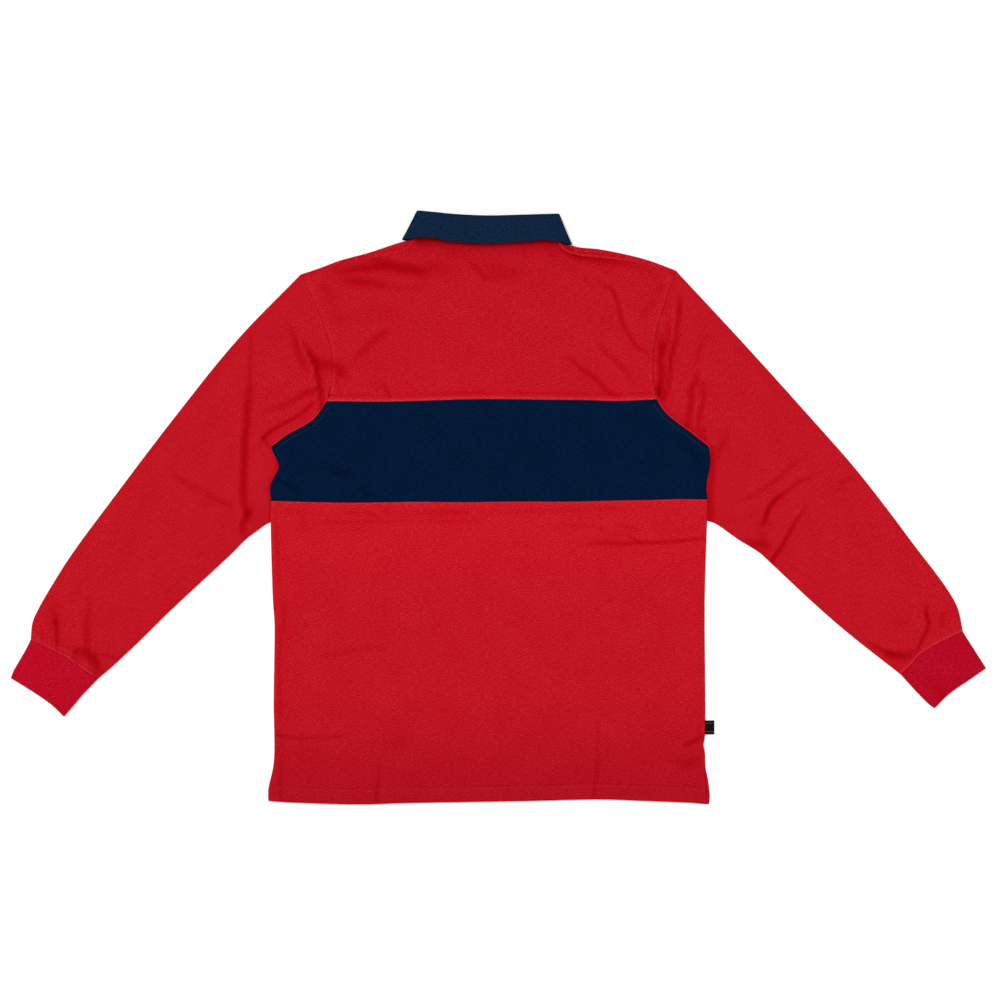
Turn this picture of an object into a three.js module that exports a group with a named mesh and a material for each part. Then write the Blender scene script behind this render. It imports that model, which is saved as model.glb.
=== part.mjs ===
// Long-sleeved rugby shirt, laid flat with its back up.
// Millimetres. +Z is up from the surface, the collar points to +Y, and the origin is under the middle.

import * as THREE from "three";

// Driving dimensions

const CLOTH = 1.2; // cotton jersey
const HEM_CLOTH = 1.8; // jersey turned up and sewn
const RIB_CLOTH = 1.8; // ribbed cuff
const TWILL = 1.2; // collar and placket
const SEAM_GAP = 0.3; // between two pieces that are sewn together
const LAYER_GAP = 0.3; // between two pieces that lie on each other
const HEM_DEPTH = 19; // hem edge to its stitch line
const HEM_STEP = 3; // over which the wall grows from one layer to the hem's thickness
const BACK_REST = 3.4; // middle of the back's wall where nothing lifts it
const SEAM_ROW = 27; // first row below the chest band, where the sleeves' lower edges meet the sides
const FOLD_ROLL_WIDTH = 13; // strip beside a side edge in which the back rolls down to the front
const FOLD_ROLL_FIRST = 0.35; // share of that strip in front of its first column
const BODY_WIDTH = 565;
const LOWER_LENGTH = 392; // from the band to the hem

// Edges of the pieces in plan. Each row is a place on the edge: x, y.

const EDGE = {
  foldLeft: [[-255, 302], [-233, 311], [-205, 322], [-167, 332], [-135, 343], [-123, 347], [-113.5, 349]],
  seamLeft: [[-233, 306], [-205, 315], [-172, 322], [-142, 328], [-120, 334], [-111, 341], [-107, 349.5]],
  neckBack: [[-107, 349.5], [-88, 352], [-59, 350], [-14, 349], [31, 350], [63, 350.5], [77, 347.5]],
  foldRight: [[86, 341.5], [96, 341], [107, 338], [129, 336], [154, 332], [194, 322], [231, 307]],
  seamRight: [[77, 347.5], [81, 337], [90, 329.5], [107, 325], [142, 322], [174, 318.5], [198, 313]],
  neckFront: [[-102, 311], [-77, 285], [-49, 271], [-14, 266], [21, 271], [49, 285], [74, 311]],
  armholeLeft: [[-255, 302], [-234, 256], [-218, 207], [-216, 187], [-217, 163], [-222, 139]],
  armholeRight: [[231, 307], [218, 268], [205, 223], [202, 188], [203, 161], [206, 142]],
  bandTop: [[-222, 139], [-101, 138], [68, 140], [180, 139.5], [206, 142]],
  bandBottom: [[-295, 9], [-201, 7], [-101, 8], [38, 10], [205, 12], [272, 11]],
  bandEndLeft: [[-222, 139], [-239, 117], [-250, 109], [-272, 97], [-295, 79]],
  bandSideLeft: [[-295, 79], [-285, 53], [-292, 38], [-296, 28], [-295, 9]],
  bandEndRight: [[206, 142], [216, 127], [229, 115], [248, 101], [274, 80]],
  bandSideRight: [[274, 80], [276, 59], [271, 31], [272, 11]],
  sideLeft: [[-295, 9], [-295, -18], [-292, -120], [-290, -149], [-291, -250], [-291, -331], [-298, -366],
    [-298, -380]],
  sideRightBack: [[272, 11], [271, -16], [268, -120], [268, -326], [269, -346], [271, -383]],
  sideRightFront: [[272, 11], [271, -16], [268, -120], [268, -326], [273, -354], [275, -375], [274, -385]],
  hemBack: [[-298, -380], [-268, -383], [-176, -386], [-132, -384], [38, -381], [133, -379], [192, -381],
    [271, -383]],
  hemFront: [[-298, -380], [-268, -382], [-176, -384], [38, -383], [168, -384], [274, -385]],
  sleeveOutLeft: [[-339, 218], [-423, 114], [-502, 10], [-575, -94], [-597, -133], [-607, -171]],
  sleeveInLeft: [[-311, -28], [-340, -54], [-426, -133], [-520, -222]],
  cuffSeamLeft: [[-607, -171], [-583, -182], [-557, -196], [-533, -213], [-520, -222]],
  cuffOutLeft: [[-614, -185], [-629, -211], [-633, -221]],
  cuffInLeft: [[-541, -244], [-551, -256], [-564, -271]],
  cuffEndLeft: [[-633, -221], [-617, -233], [-580, -257], [-564, -271]],
  sleeveOutRight: [[315, 218], [409, 114], [466, 49], [536, -42], [595, -125], [604, -161]],
  sleeveInRight: [[294, -29], [345, -63], [408, -120], [453, -159], [523, -216]],
  cuffSeamRight: [[604, -161], [583, -170], [546, -192], [537, -203], [523, -216]],
  cuffOutRight: [[618, -183], [634, -208]],
  cuffInRight: [[543, -238], [560, -255], [567, -260]],
  cuffEndRight: [[634, -208], [619, -219], [585, -244], [567, -260]],
};

// The collar's sections. Each row has the neck seam, the roll line and the leaf's edge in plan.

const COLLAR_CENTRE_X = -14;
const COLLAR_SIDE_LEFT = { seam: [-111, 351.8], roll: [-101.7, 383.4], edge: [-117.7, 350.2] };
const COLLAR_SIDE_RIGHT = { seam: [82, 347.8], roll: [76.6, 375.9], edge: [89.6, 343.8] };
const COLLAR_BACK = [
  COLLAR_SIDE_LEFT,
  { seam: [-88, 353], roll: [-80, 382.1], edge: [-93, 349.8] },
  { seam: [-59, 350.9], roll: [-55, 379.7], edge: [-62, 345.4] },
  { seam: [-14, 349.8], roll: [-14, 377.9], edge: [-14, 342.6] },
  { seam: [31, 350.9], roll: [29, 378.6], edge: [32, 344.8] },
  { seam: [62, 351.4], roll: [57, 379.6], edge: [66, 346.7] },
  COLLAR_SIDE_RIGHT,
];
const COLLAR_FRONT = [
  { seam: [-106, 337.5], roll: [-93, 368], edge: [-122.9, 331] },
  { seam: [-99.5, 313], roll: [-78, 341], edge: [-117.7, 301] },
  { seam: [-75.3, 287.2], roll: [-55, 314], edge: [-103.4, 272] },
  { seam: [-48.3, 273.4], roll: [-35.8, 300], edge: [-82.5, 246] },
  { seam: [-15.2, 268.5], roll: [-15.2, 294], edge: [-59, 224] },
];
const COLLAR_MIDDLE_Z = 4.75; // half way between the collar's top and bottom layers
const STAND_RADIUS = 2.35; // the stand's half height where the neck is pressed flat
const LEAF_RADIUS = 4.15; // the leaf's half height, over the stand

// What lies under the front and lifts it: a rounded strip from one end to the other, and its height.

const LEAF_LIFT = 1.8;
const PLACKET_LIFT = 3.1;
const BACK_LIFT_SHARE = 0.75; // how much of that lift reaches the back
const LIFT_FALL = 42; // beyond the strip's radius the cloth comes down over this width
const LIFTS = [
  { x0: -116, y0: 354, x1: -108, y1: 296, radius: 24, high: LEAF_LIFT },
  { x0: -100, y0: 285, x1: -66, y1: 240, radius: 36, high: LEAF_LIFT },
  { x0: 88, y0: 350, x1: 80, y1: 296, radius: 24, high: LEAF_LIFT },
  { x0: 72, y0: 285, x1: 38, y1: 240, radius: 36, high: LEAF_LIFT },
  { x0: -14, y0: 268, x1: -14, y1: 98, radius: 32, high: PLACKET_LIFT },
];
const NECK_RISE = { x0: -107, y0: 350, x1: 77, y1: 348, radius: 4, fall: 56, middle: 7.1 };

const PLACKET = { width: 34, top: 258, bottom: 98, low: 1.5 };
const BUTTON = { radius: 6.5, rim: 1.6, edge: 0.3, high: 1.2, dish: 0.4, sides: 14, rows: [235, 180, 125] };
const LABEL = { seam: 268.35, end: 281, low: -294, high: -276, seamMiddle: 1.9, endMiddle: 0.9, thick: 1.2 };

// The largest folds: from, via and to in plan, half width, and height of the ridge or depth of the trough.

const FOLDS = [
  { from: [138, 287], via: [160, 245], to: [190, 206], wide: 11, high: -1.5 },
  { from: [131, 210], via: [150, 185], to: [168, 174], wide: 11, high: -0.9 },
  { from: [-164, 326], via: [-136, 315], to: [-96, 305], wide: 10, high: -1 },
  { from: [-196, 293], via: [-159, 289], to: [-128, 285], wide: 10, high: -0.8 },
  { from: [-180, 193], via: [-159, 215], to: [-142, 229], wide: 11, high: -0.7 },
  { from: [-255, 222], via: [-241, 181], to: [-235, 135], wide: 10, high: 1.5 },
  { from: [-319, 224], via: [-327, 112], to: [-323, 2], wide: 14, high: -1.3 },
  { from: [-416, 40], via: [-380, 23], to: [-345, 2], wide: 14, high: -0.9 },
  { from: [-570, -124], via: [-570, -150], to: [-570, -174], wide: 9, high: -1.3 },
  { from: [-532, -120], via: [-532, -150], to: [-532, -174], wide: 9, high: -0.8 },
  { from: [236, 265], via: [228, 200], to: [220, 146], wide: 10, high: -1.1 },
  { from: [265, 215], via: [255, 158], to: [248, 105], wide: 10, high: -1.1 },
  { from: [417, 40], via: [375, 16], to: [346, -18], wide: 13, high: -1.7 },
  { from: [428, 60], via: [405, 46], to: [383, 34], wide: 12, high: 1.1 },
  { from: [408, -1], via: [383, -25], to: [358, -66], wide: 13, high: -1.4 },
  { from: [558, -131], via: [560, -151], to: [539, -191], wide: 9, high: -1.3 },
  { from: [-145, 5], via: [-145, -80], to: [-145, -159], wide: 13, high: -0.8 },
  { from: [-154, -320], via: [-154, -350], to: [-154, -379], wide: 10, high: -0.4 },
  { from: [144, -292], via: [138, -335], to: [125, -379], wide: 12, high: -0.4 },
  { from: [-231, -18], via: [-80, -19], to: [80, -16], wide: 11, high: -0.8 },
  { from: [112, -49], via: [203, -45], to: [265, -41], wide: 11, high: -1.3 },
  { from: [-285, -296], via: [-240, -298], to: [-196, -297], wide: 12, high: -0.9 },
  { from: [60, -60], via: [20, -160], to: [40, -260], wide: 60, high: 1 },
  { from: [-230, -70], via: [-225, -160], to: [-235, -260], wide: 40, high: 0.8 },
  { from: [200, -100], via: [215, -180], to: [205, -250], wide: 40, high: 0.8 },
  { from: [-120, 230], via: [-60, 190], to: [80, 235], wide: 45, high: 0.7 },
];

// Rows and columns of the panels

const COLUMNS_FRONT = 17; // the back has a column more between every two of these
const ROWS_UPPER = 10;
const ROWS_BAND = 6;
const ROWS_LOWER_BACK = 14; // between the sleeves' lower edges and the hem's stitch line
const ROWS_LOWER_FRONT = 5;
const ROWS_PLACKET = 8;
const COLUMNS_PLACKET = 2;
const ROWS_LABEL = 2;
const COLUMNS_LABEL = 3;
const SHOULDER_STRETCH_LEFT = 0.31; // share of the columns left of the neck
const SHOULDER_STRETCH_RIGHT = 0.69; // the columns from here on are right of the neck
const TIP_WRAP = 0.033; // share of the armhole that the front's roll takes at the shoulder's tip
const TURN_ANGLES = [-45, 0, 45].map((degrees) => THREE.MathUtils.degToRad(degrees));

// Small helpers

const { lerp, clamp } = THREE.MathUtils;
const LENGTH_DIVISIONS = 400; // of a curve, for the length along it
const mix = (a, b, share) => a.map((value, axis) => lerp(value, b[axis], share));
const add = (a, b, scale = 1) => a.map((value, axis) => value + scale * b[axis]);
const distance = (a, b) => Math.hypot(a[0] - b[0], a[1] - b[1]);
const spread = (count) => Array.from({ length: count + 1 }, (_, index) => index / count);

function unit(a, b) {
  const length = distance(a, b);
  return [(b[0] - a[0]) / length, (b[1] - a[1]) / length];
}

function smooth(share) {
  const t = clamp(share, 0, 1);
  return t * t * (3 - 2 * t);
}

// A smooth curve through an edge's rows, as a function of the share of its length.
function curve(rows) {
  const points = rows.map(([x, y]) => new THREE.Vector3(x, y, 0));
  const line = new THREE.CatmullRomCurve3(points, false, "centripetal");
  line.arcLengthDivisions = LENGTH_DIVISIONS;
  return (share) => {
    const point = line.getPointAt(clamp(share, 0, 1));
    return [point.x, point.y];
  };
}

// Straight steps between points, as a function of the share of the length.
function steps(points) {
  const ends = [0];
  points.slice(1).forEach((point, index) => ends.push(ends[index] + distance(points[index], point)));
  const length = ends[ends.length - 1];
  const at = (share) => {
    const target = clamp(share, 0, 1) * length;
    const index = clamp(ends.findIndex((end) => end >= target), 1, points.length - 1);
    const along = (target - ends[index - 1]) / (ends[index] - ends[index - 1]);
    return mix(points[index - 1], points[index], along);
  };
  at.shares = ends.map((end) => end / length);
  return at;
}

// Several edges joined end to end. Bounds are the shares at which one gives way to the next.
function chain(edges, bounds) {
  return (share) => {
    const index = clamp(bounds.findIndex((bound) => bound > share) - 1, 0, edges.length - 1);
    const last = share >= bounds[bounds.length - 1];
    const part = last ? edges.length - 1 : index;
    return edges[part]((share - bounds[part]) / (bounds[part + 1] - bounds[part]));
  };
}

// The surface between four edges in plan: u runs along start and end, v along first and last.
function patch(start, end, first, last) {
  return (u, v) => {
    const between = mix(start(u), end(u), v);
    const across = mix(first(v), last(v), u);
    const corners = mix(mix(start(0), start(1), u), mix(end(0), end(1), u), v);
    return add(add(between, across), corners, -1);
  };
}

function stripShare({ x0, y0, x1, y1, radius }, fall, x, y) {
  const length2 = (x1 - x0) ** 2 + (y1 - y0) ** 2;
  const along = clamp(((x - x0) * (x1 - x0) + (y - y0) * (y1 - y0)) / length2, 0, 1);
  const away = distance([x, y], [lerp(x0, x1, along), lerp(y0, y1, along)]);
  return 1 - smooth((away - radius) / fall);
}

// Heights of the cloth

const liftAt = (x, y) => Math.max(...LIFTS.map((row) => row.high * stripShare(row, LIFT_FALL, x, y)));

function foldAt(x, y) {
  let height = 0;
  for (const { from, via, to, wide, high } of FOLDS) {
    let nearest = Infinity;
    for (const [a, b] of [[from, via], [via, to]]) {
      const length2 = (b[0] - a[0]) ** 2 + (b[1] - a[1]) ** 2;
      const along = clamp(((x - a[0]) * (b[0] - a[0]) + (y - a[1]) * (b[1] - a[1])) / length2, 0, 1);
      nearest = Math.min(nearest, distance([x, y], mix(a, b, along)));
    }
    height += high * Math.exp(-((nearest / wide) ** 2));
  }
  return height;
}

const frontMiddle = (x, y) => liftAt(x, y) + CLOTH / 2;

function backMiddle(x, y) {
  const lift = liftAt(x, y);
  const loose = BACK_REST + BACK_LIFT_SHARE * lift + foldAt(x, y);
  const neck = stripShare(NECK_RISE, NECK_RISE.fall, x, y);
  const lowest = lift + CLOTH + LAYER_GAP + CLOTH / 2;
  return Math.max(lerp(loose, NECK_RISE.middle, neck), lowest);
}

// Solids

// Closed wall of cloth. Each point has two places, one on each face, and each quad is a patch of cloth.
function wallGeometry(points, quads) {
  const count = points.length;
  const edges = new Map();
  const triangles = [];
  for (const quad of quads) {
    const [a, b, c, d] = quad;
    triangles.push([a, b, c], [a, c, d]);
    triangles.push([count + a, count + c, count + b], [count + a, count + d, count + c]);
    quad.forEach((from, corner) => {
      const to = quad[(corner + 1) % 4];
      edges.set(`${from}_${to}`, [from, to]);
    });
  }
  for (const [from, to] of edges.values()) {
    if (!edges.has(`${to}_${from}`)) {
      triangles.push([from, count + from, count + to], [from, count + to, to]);
    }
  }
  const places = [...points.map((point) => point[0]), ...points.map((point) => point[1])];
  let volume = 0;
  for (const [a, b, c] of triangles) {
    const [p, q, r] = [places[a], places[b], places[c]].map((place) => new THREE.Vector3(...place));
    volume += p.dot(q.cross(r));
  }
  const index = triangles.flatMap(([a, b, c]) => (volume > 0 ? [a, b, c] : [a, c, b]));
  const geometry = new THREE.BufferGeometry();
  geometry.setAttribute("position", new THREE.Float32BufferAttribute(places.flat(), 3));
  geometry.setIndex(index);
  return geometry;
}

// Quads of a grid whose points are stored row by row.
function gridQuads(rows, columns, closed = false, first = 0) {
  const quads = [];
  for (let row = 0; row < rows - 1; row += 1) {
    for (let column = 0; column < columns - (closed ? 0 : 1); column += 1) {
      const next = (column + 1) % columns;
      const here = first + row * columns;
      quads.push([here + columns + column, here + columns + next, here + next, here + column]);
    }
  }
  return quads;
}

const flatPair = (x, y, middle, thick) => [[x, y, middle + thick / 2], [x, y, middle - thick / 2]];

// A panel's points, row by row, from its plan and its two heights.
// Its upper and lower edges draw back by half a gap, unless they are open.
function panelPoints(place, rows, columns, pairAt, open = {}) {
  return rows.flatMap((v, row) =>
    columns.map((u) => {
      let point = place(u, v);
      if (row === 0 && !open.top) point = add(point, unit(point, place(u, rows[1])), SEAM_GAP / 2);
      if (row === rows.length - 1 && !open.bottom) {
        point = add(point, unit(point, place(u, rows[row - 1])), SEAM_GAP / 2);
      }
      return pairAt(point[0], point[1], u, v);
    })
  );
}

// Plan of the body

const armholeLeft = curve(EDGE.armholeLeft);
const armholeRight = curve(EDGE.armholeRight);
const foldLeft = curve(EDGE.foldLeft);
const foldRight = curve(EDGE.foldRight);
const bandTop = curve(EDGE.bandTop);
const bandBottom = curve(EDGE.bandBottom);
const bandLeft = chain([curve(EDGE.bandEndLeft), curve(EDGE.bandSideLeft)], [0, 0.5, 1]);
const bandRight = chain([curve(EDGE.bandEndRight), curve(EDGE.bandSideRight)], [0, 0.5, 1]);
const neckBounds = [0, SHOULDER_STRETCH_LEFT, SHOULDER_STRETCH_RIGHT, 1];
const frontColumns = upperColumns(columnShares(COLUMNS_FRONT, BODY_WIDTH));
const backColumns = frontColumns.flatMap((share, index) => {
  const next = frontColumns[index + 1];
  return next - share > FOLD_ROLL_WIDTH / BODY_WIDTH ? [share, (share + next) / 2] : [share];
});

// Both sides of a shoulder seam follow the same steps, those of the front's columns.
const seamLeft = steps(
  frontColumns
    .filter((u) => u <= SHOULDER_STRETCH_LEFT)
    .map((u) => curve([armholeLeft(TIP_WRAP), ...EDGE.seamLeft])(u / SHOULDER_STRETCH_LEFT))
);
const seamRight = steps(
  frontColumns
    .filter((u) => u >= SHOULDER_STRETCH_RIGHT)
    .map((u) => (u - SHOULDER_STRETCH_RIGHT) / (1 - SHOULDER_STRETCH_RIGHT))
    .map(curve([...EDGE.seamRight, armholeRight(TIP_WRAP)]))
);

// Both shoulders: the fold and the shoulder seam at one share of the columns.
function shoulderAt(u) {
  const left = u <= SHOULDER_STRETCH_LEFT;
  const fromRight = (u - SHOULDER_STRETCH_RIGHT) / (1 - SHOULDER_STRETCH_RIGHT);
  const share = left ? u / SHOULDER_STRETCH_LEFT : fromRight;
  const fold = left ? foldLeft(share) : foldRight(share);
  const seam = left ? seamLeft(share) : seamRight(share);
  const inward = unit(fold, seam);
  const low = liftAt(...seam);
  const high = backMiddle(...seam) + CLOTH / 2;
  return { fold, seam, inward, low, high, radius: (high - low) / 2 };
}

function rollStart(u) {
  const { fold, inward, radius } = shoulderAt(u);
  return add(fold, inward, radius);
}

const upperBack = patch(
  chain([seamLeft, curve(EDGE.neckBack), seamRight], neckBounds),
  bandTop,
  (v) => armholeLeft(lerp(TIP_WRAP, 1, v)),
  (v) => armholeRight(lerp(TIP_WRAP, 1, v))
);
const neckFront = curve([
  rollStart(SHOULDER_STRETCH_LEFT),
  ...EDGE.neckFront,
  rollStart(SHOULDER_STRETCH_RIGHT),
]);
const rollLeft = (share) => rollStart(share * SHOULDER_STRETCH_LEFT);
const rollRight = (share) => rollStart(lerp(SHOULDER_STRETCH_RIGHT, 1, share));
const upperRows = spread(ROWS_UPPER);
const armholeFront = (armhole, u) => (v) => {
  const corner = rollStart(u);
  const place = armhole(lerp(TIP_WRAP, 1, v));
  return v < upperRows[1] ? mix(corner, armhole(lerp(TIP_WRAP, 1, upperRows[1])), v / upperRows[1]) : place;
};
const upperFront = patch(
  chain([rollLeft, neckFront, rollRight], neckBounds),
  bandTop,
  armholeFront(armholeLeft, 0),
  armholeFront(armholeRight, 1)
);
const band = patch(bandTop, bandBottom, bandLeft, bandRight);

function lowerPanel(hemRows, rightRows) {
  return patch(bandBottom, curve(hemRows), curve(EDGE.sideLeft), curve(rightRows));
}

const lowerBack = lowerPanel(EDGE.hemBack, EDGE.sideRightBack);
const lowerFront = lowerPanel(EDGE.hemFront, EDGE.sideRightFront);

function lowerRows(count) {
  const first = SEAM_ROW / LOWER_LENGTH;
  const stitch = 1 - HEM_DEPTH / LOWER_LENGTH;
  const inner = spread(count).map((share) => lerp(first, stitch, share));
  return [0, ...inner, stitch + HEM_STEP / LOWER_LENGTH, 1];
}

function columnShares(count, width) {
  const roll = FOLD_ROLL_WIDTH / width;
  const inner = spread(count).map((share) => lerp(roll, 1 - roll, share));
  return [0, roll * FOLD_ROLL_FIRST, ...inner, 1 - roll * FOLD_ROLL_FIRST, 1];
}

// The columns of an upper panel keep to the corners of its neck.
function upperColumns(shares) {
  const nearest = (bound) => shares.reduce((best, share) =>
    Math.abs(share - bound) < Math.abs(best - bound) ? share : best);
  const left = nearest(SHOULDER_STRETCH_LEFT);
  const right = nearest(SHOULDER_STRETCH_RIGHT);
  return shares.map((share) => {
    if (share === left) return SHOULDER_STRETCH_LEFT;
    return share === right ? SHOULDER_STRETCH_RIGHT : share;
  });
}

const bandRows = spread(ROWS_BAND);
const backLowerRows = lowerRows(ROWS_LOWER_BACK);
const frontLowerRows = lowerRows(ROWS_LOWER_FRONT);

// Body panels

function backPanel(place, rows, thickAt, sideRoll) {
  const pairAt = (x, y, u, v) => {
    const thick = thickAt(v);
    const fromSide = Math.min(u, 1 - u) * BODY_WIDTH;
    const pressed = CLOTH + LAYER_GAP + thick / 2 + (thick - CLOTH);
    const middle = Math.max(backMiddle(x, y), pressed);
    const roll = sideRoll ? smooth(fromSide / FOLD_ROLL_WIDTH) : 1;
    return flatPair(x, y, lerp(pressed, middle, roll), thick);
  };
  const points = panelPoints(place, rows, backColumns, pairAt);
  return wallGeometry(points, gridQuads(rows.length, backColumns.length));
}

const plainThick = () => CLOTH;
const hemThick = (v) => (v > 1 - (HEM_DEPTH - 1) / LOWER_LENGTH ? HEM_CLOTH : CLOTH);

function frontPanel(place, rows, thickAt) {
  const pairAt = (x, y, u, v) => flatPair(x, y, liftAt(x, y) + thickAt(v) / 2, thickAt(v));
  const points = panelPoints(place, rows, frontColumns, pairAt);
  return wallGeometry(points, gridQuads(rows.length, frontColumns.length));
}

// The front above the band goes on over the shoulders, round the fold and down to the shoulder seam.
function frontUpperGeometry() {
  const columns = frontColumns;
  const pairAt = (x, y) => flatPair(x, y, frontMiddle(x, y), CLOTH);
  const points = panelPoints(upperFront, upperRows, columns, pairAt, { top: true });
  const quads = gridQuads(upperRows.length, columns.length);
  const rollPair = ({ fold, inward, low, radius }, angle) =>
    [radius - CLOTH, radius].map((reach) => {
      const inset = radius - reach * Math.cos(angle);
      const place = add(fold, inward, inset);
      return [...place, low + radius + reach * Math.sin(angle)];
    });
  const stretches = [
    columns.map((u, column) => [u, column]).filter(([u]) => u <= SHOULDER_STRETCH_LEFT),
    columns.map((u, column) => [u, column]).filter(([u]) => u >= SHOULDER_STRETCH_RIGHT),
  ];
  for (const stretch of stretches) {
    let previous = stretch.map(([, column]) => column);
    stretch.forEach(([u, column]) => {
      const { low } = shoulderAt(u);
      points[column][0][2] = low + CLOTH;
      points[column][1][2] = low;
    });
    const addRow = (pairOf) => {
      const row = stretch.map(([u]) => points.push(pairOf(shoulderAt(u))) - 1);
      for (let step = 0; step < row.length - 1; step += 1) {
        quads.push([previous[step], previous[step + 1], row[step + 1], row[step]]);
      }
      previous = row;
    };
    TURN_ANGLES.forEach((angle) => addRow((shoulder) => rollPair(shoulder, angle)));
    addRow((shoulder) => rollPair(shoulder, Math.PI / 2));
    addRow(({ seam, inward, high }) => {
      const place = add(seam, inward, -SEAM_GAP / 2);
      return [[...place, high - CLOTH], [...place, high]];
    });
  }
  return wallGeometry(points, quads);
}

// Sleeves and cuffs: tubes pressed flat

// A tube between two seams. Its sections hold the points of both seams, on the top and on the bottom.
function tubeGeometry({ place, shares, stations, wall, edgeTop, topAt }) {
  const points = stations.flatMap((v) => {
    const length = distance(place(0, v), place(0.5, v)) + distance(place(0.5, v), place(1, v));
    const radius = edgeTop(v) / 2;
    const margin = (TURN_MARGIN * radius) / length;
    const kept = shares.slice(1, -1).map((share) => clamp(share, margin, 1 - margin));
    const turn = (side, angles) =>
      angles.map((angle) =>
        [radius, radius - wall].map((reach) => {
          const inset = (radius - reach * Math.cos(angle)) / length;
          return [...place(side ? 1 - inset : inset, v), radius + reach * Math.sin(angle)];
        })
      );
    const top = kept.map((u) => {
      const [x, y] = place(u, v);
      const crown = topAt(x, y, u, v, 2 * radius);
      return [[x, y, crown], [x, y, crown - wall]];
    });
    const bottom = [...kept].reverse().map((u) => {
      const [x, y] = place(u, v);
      return [[x, y, 0], [x, y, wall]];
    });
    const down = [...TURN_ANGLES].reverse();
    return [...turn(false, TURN_ANGLES), ...top, ...turn(true, down), ...bottom];
  });
  const ring = points.length / stations.length;
  return wallGeometry(points, gridQuads(stations.length, ring, true));
}

// The body's edge that a sleeve is sewn to, moved out by the seam gap.
function sleeveStart(armhole, bandEdge, sideRows, outwardSign) {
  const places = [
    armhole(0),
    ...upperRows.map((v) => armhole(lerp(TIP_WRAP, 1, v))),
    ...bandRows.slice(1).map(bandEdge),
    curve(sideRows)(backLowerRows[1]),
  ];
  return places.map((point, index) => {
    const before = places[Math.max(index - 1, 0)];
    const after = places[Math.min(index + 1, places.length - 1)];
    const [x, y] = unit(before, after);
    return add(point, [outwardSign * y, -outwardSign * x], SEAM_GAP);
  });
}

const SLEEVE_STATIONS = [0, 0.05, 0.12, 0.2, 0.29, 0.38, 0.47, 0.57, 0.68, 0.79, 0.88, 0.94, 1];
const CUFF_STATIONS = [0, 0.12, 0.5, 0.88, 1];
const SLEEVE_EDGE_TOP = 3.4;
const SLEEVE_CROWN = 1.5;
const SLEEVE_CROWN_POWER = 0.7; // the lower, the flatter the crown's middle
const SLEEVE_UNDER_SIDE_TOP = 3; // where the sleeve comes out beside the higher edge of the body
const BESIDE_FIRST = 0.62; // share across the sleeve from which it lies beside the body's side
const BESIDE_FADE = 0.15; // shares across and along over which that comes and goes
const BESIDE_LENGTH = 0.12;
const TURN_MARGIN = 1.2; // the tube's points keep this many edge radii from its edges
const CUFF_TOP = 5.4;
const CUFF_EDGE_TOP = 4.4;
const CUFF_CROWN_POWER = 0.6;
const CUFF_SWELL = 1.2; // the cuff stands higher between its seam and its end

function sleeveTop(x, y, u, v, edge) {
  const crown = edge + SLEEVE_CROWN * Math.sin(Math.PI * u) ** SLEEVE_CROWN_POWER + foldAt(x, y);
  const beside = smooth((u - BESIDE_FIRST) / BESIDE_FADE) * (1 - smooth(v / BESIDE_LENGTH));
  return Math.max(lerp(crown, SLEEVE_UNDER_SIDE_TOP, beside), 2 * CLOTH + LAYER_GAP);
}

function cuffTop(x, y, u, v, edge) {
  const swell = v * (1 - v) * CUFF_SWELL;
  return lerp(edge, CUFF_TOP, Math.sin(Math.PI * u) ** CUFF_CROWN_POWER) + swell;
}

function sleeveAndCuff(side) {
  const left = side === "Left";
  const start = steps(
    left
      ? sleeveStart(armholeLeft, bandLeft, EDGE.sideLeft, 1)
      : sleeveStart(armholeRight, bandRight, EDGE.sideRightBack, -1)
  );
  const seam = curve(EDGE[`cuffSeam${side}`]);
  const outer = curve([start(0), ...EDGE[`sleeveOut${side}`]]);
  const inner = curve([start(1), ...EDGE[`sleeveIn${side}`]]);
  const end = curve(EDGE[`cuffEnd${side}`]);
  const gap = unit(seam(0.5), end(0.5)).map((value) => value * SEAM_GAP);
  const cuffStart = (share) => add(seam(share), gap);
  const cuffOuter = curve([cuffStart(0), ...EDGE[`cuffOut${side}`]]);
  const cuffInner = curve([cuffStart(1), ...EDGE[`cuffIn${side}`]]);
  const sleeve = tubeGeometry({
    place: patch(start, seam, outer, inner),
    shares: start.shares,
    stations: SLEEVE_STATIONS,
    wall: CLOTH,
    edgeTop: () => SLEEVE_EDGE_TOP,
    topAt: sleeveTop,
  });
  const cuff = tubeGeometry({
    place: patch(cuffStart, end, cuffOuter, cuffInner),
    shares: start.shares,
    stations: CUFF_STATIONS,
    wall: RIB_CLOTH,
    edgeTop: () => CUFF_EDGE_TOP,
    topAt: cuffTop,
  });
  return { sleeve, cuff };
}

// Collar: the stand goes up from the neck seam, rolls over, and the leaf comes down outside it.

const STAND_SHARES = [0, 0.5, 0.95];
const ROLL_ANGLES = [-60, 0, 60].map((degrees) => THREE.MathUtils.degToRad(degrees));
const LEAF_SHARES = [0.03, 0.35, 0.7, 1];
const SIDE_ANGLES = [50, 0, -50].map((degrees) => THREE.MathUtils.degToRad(degrees));
const SIDE_OUTWARD_LEFT = [-0.9, 0.434]; // the way the collar's sides bulge
const SIDE_OUTWARD_RIGHT = [0.929, 0.371];
const BACK_STATIONS = 11;
const FRONT_STATIONS = 6;

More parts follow.
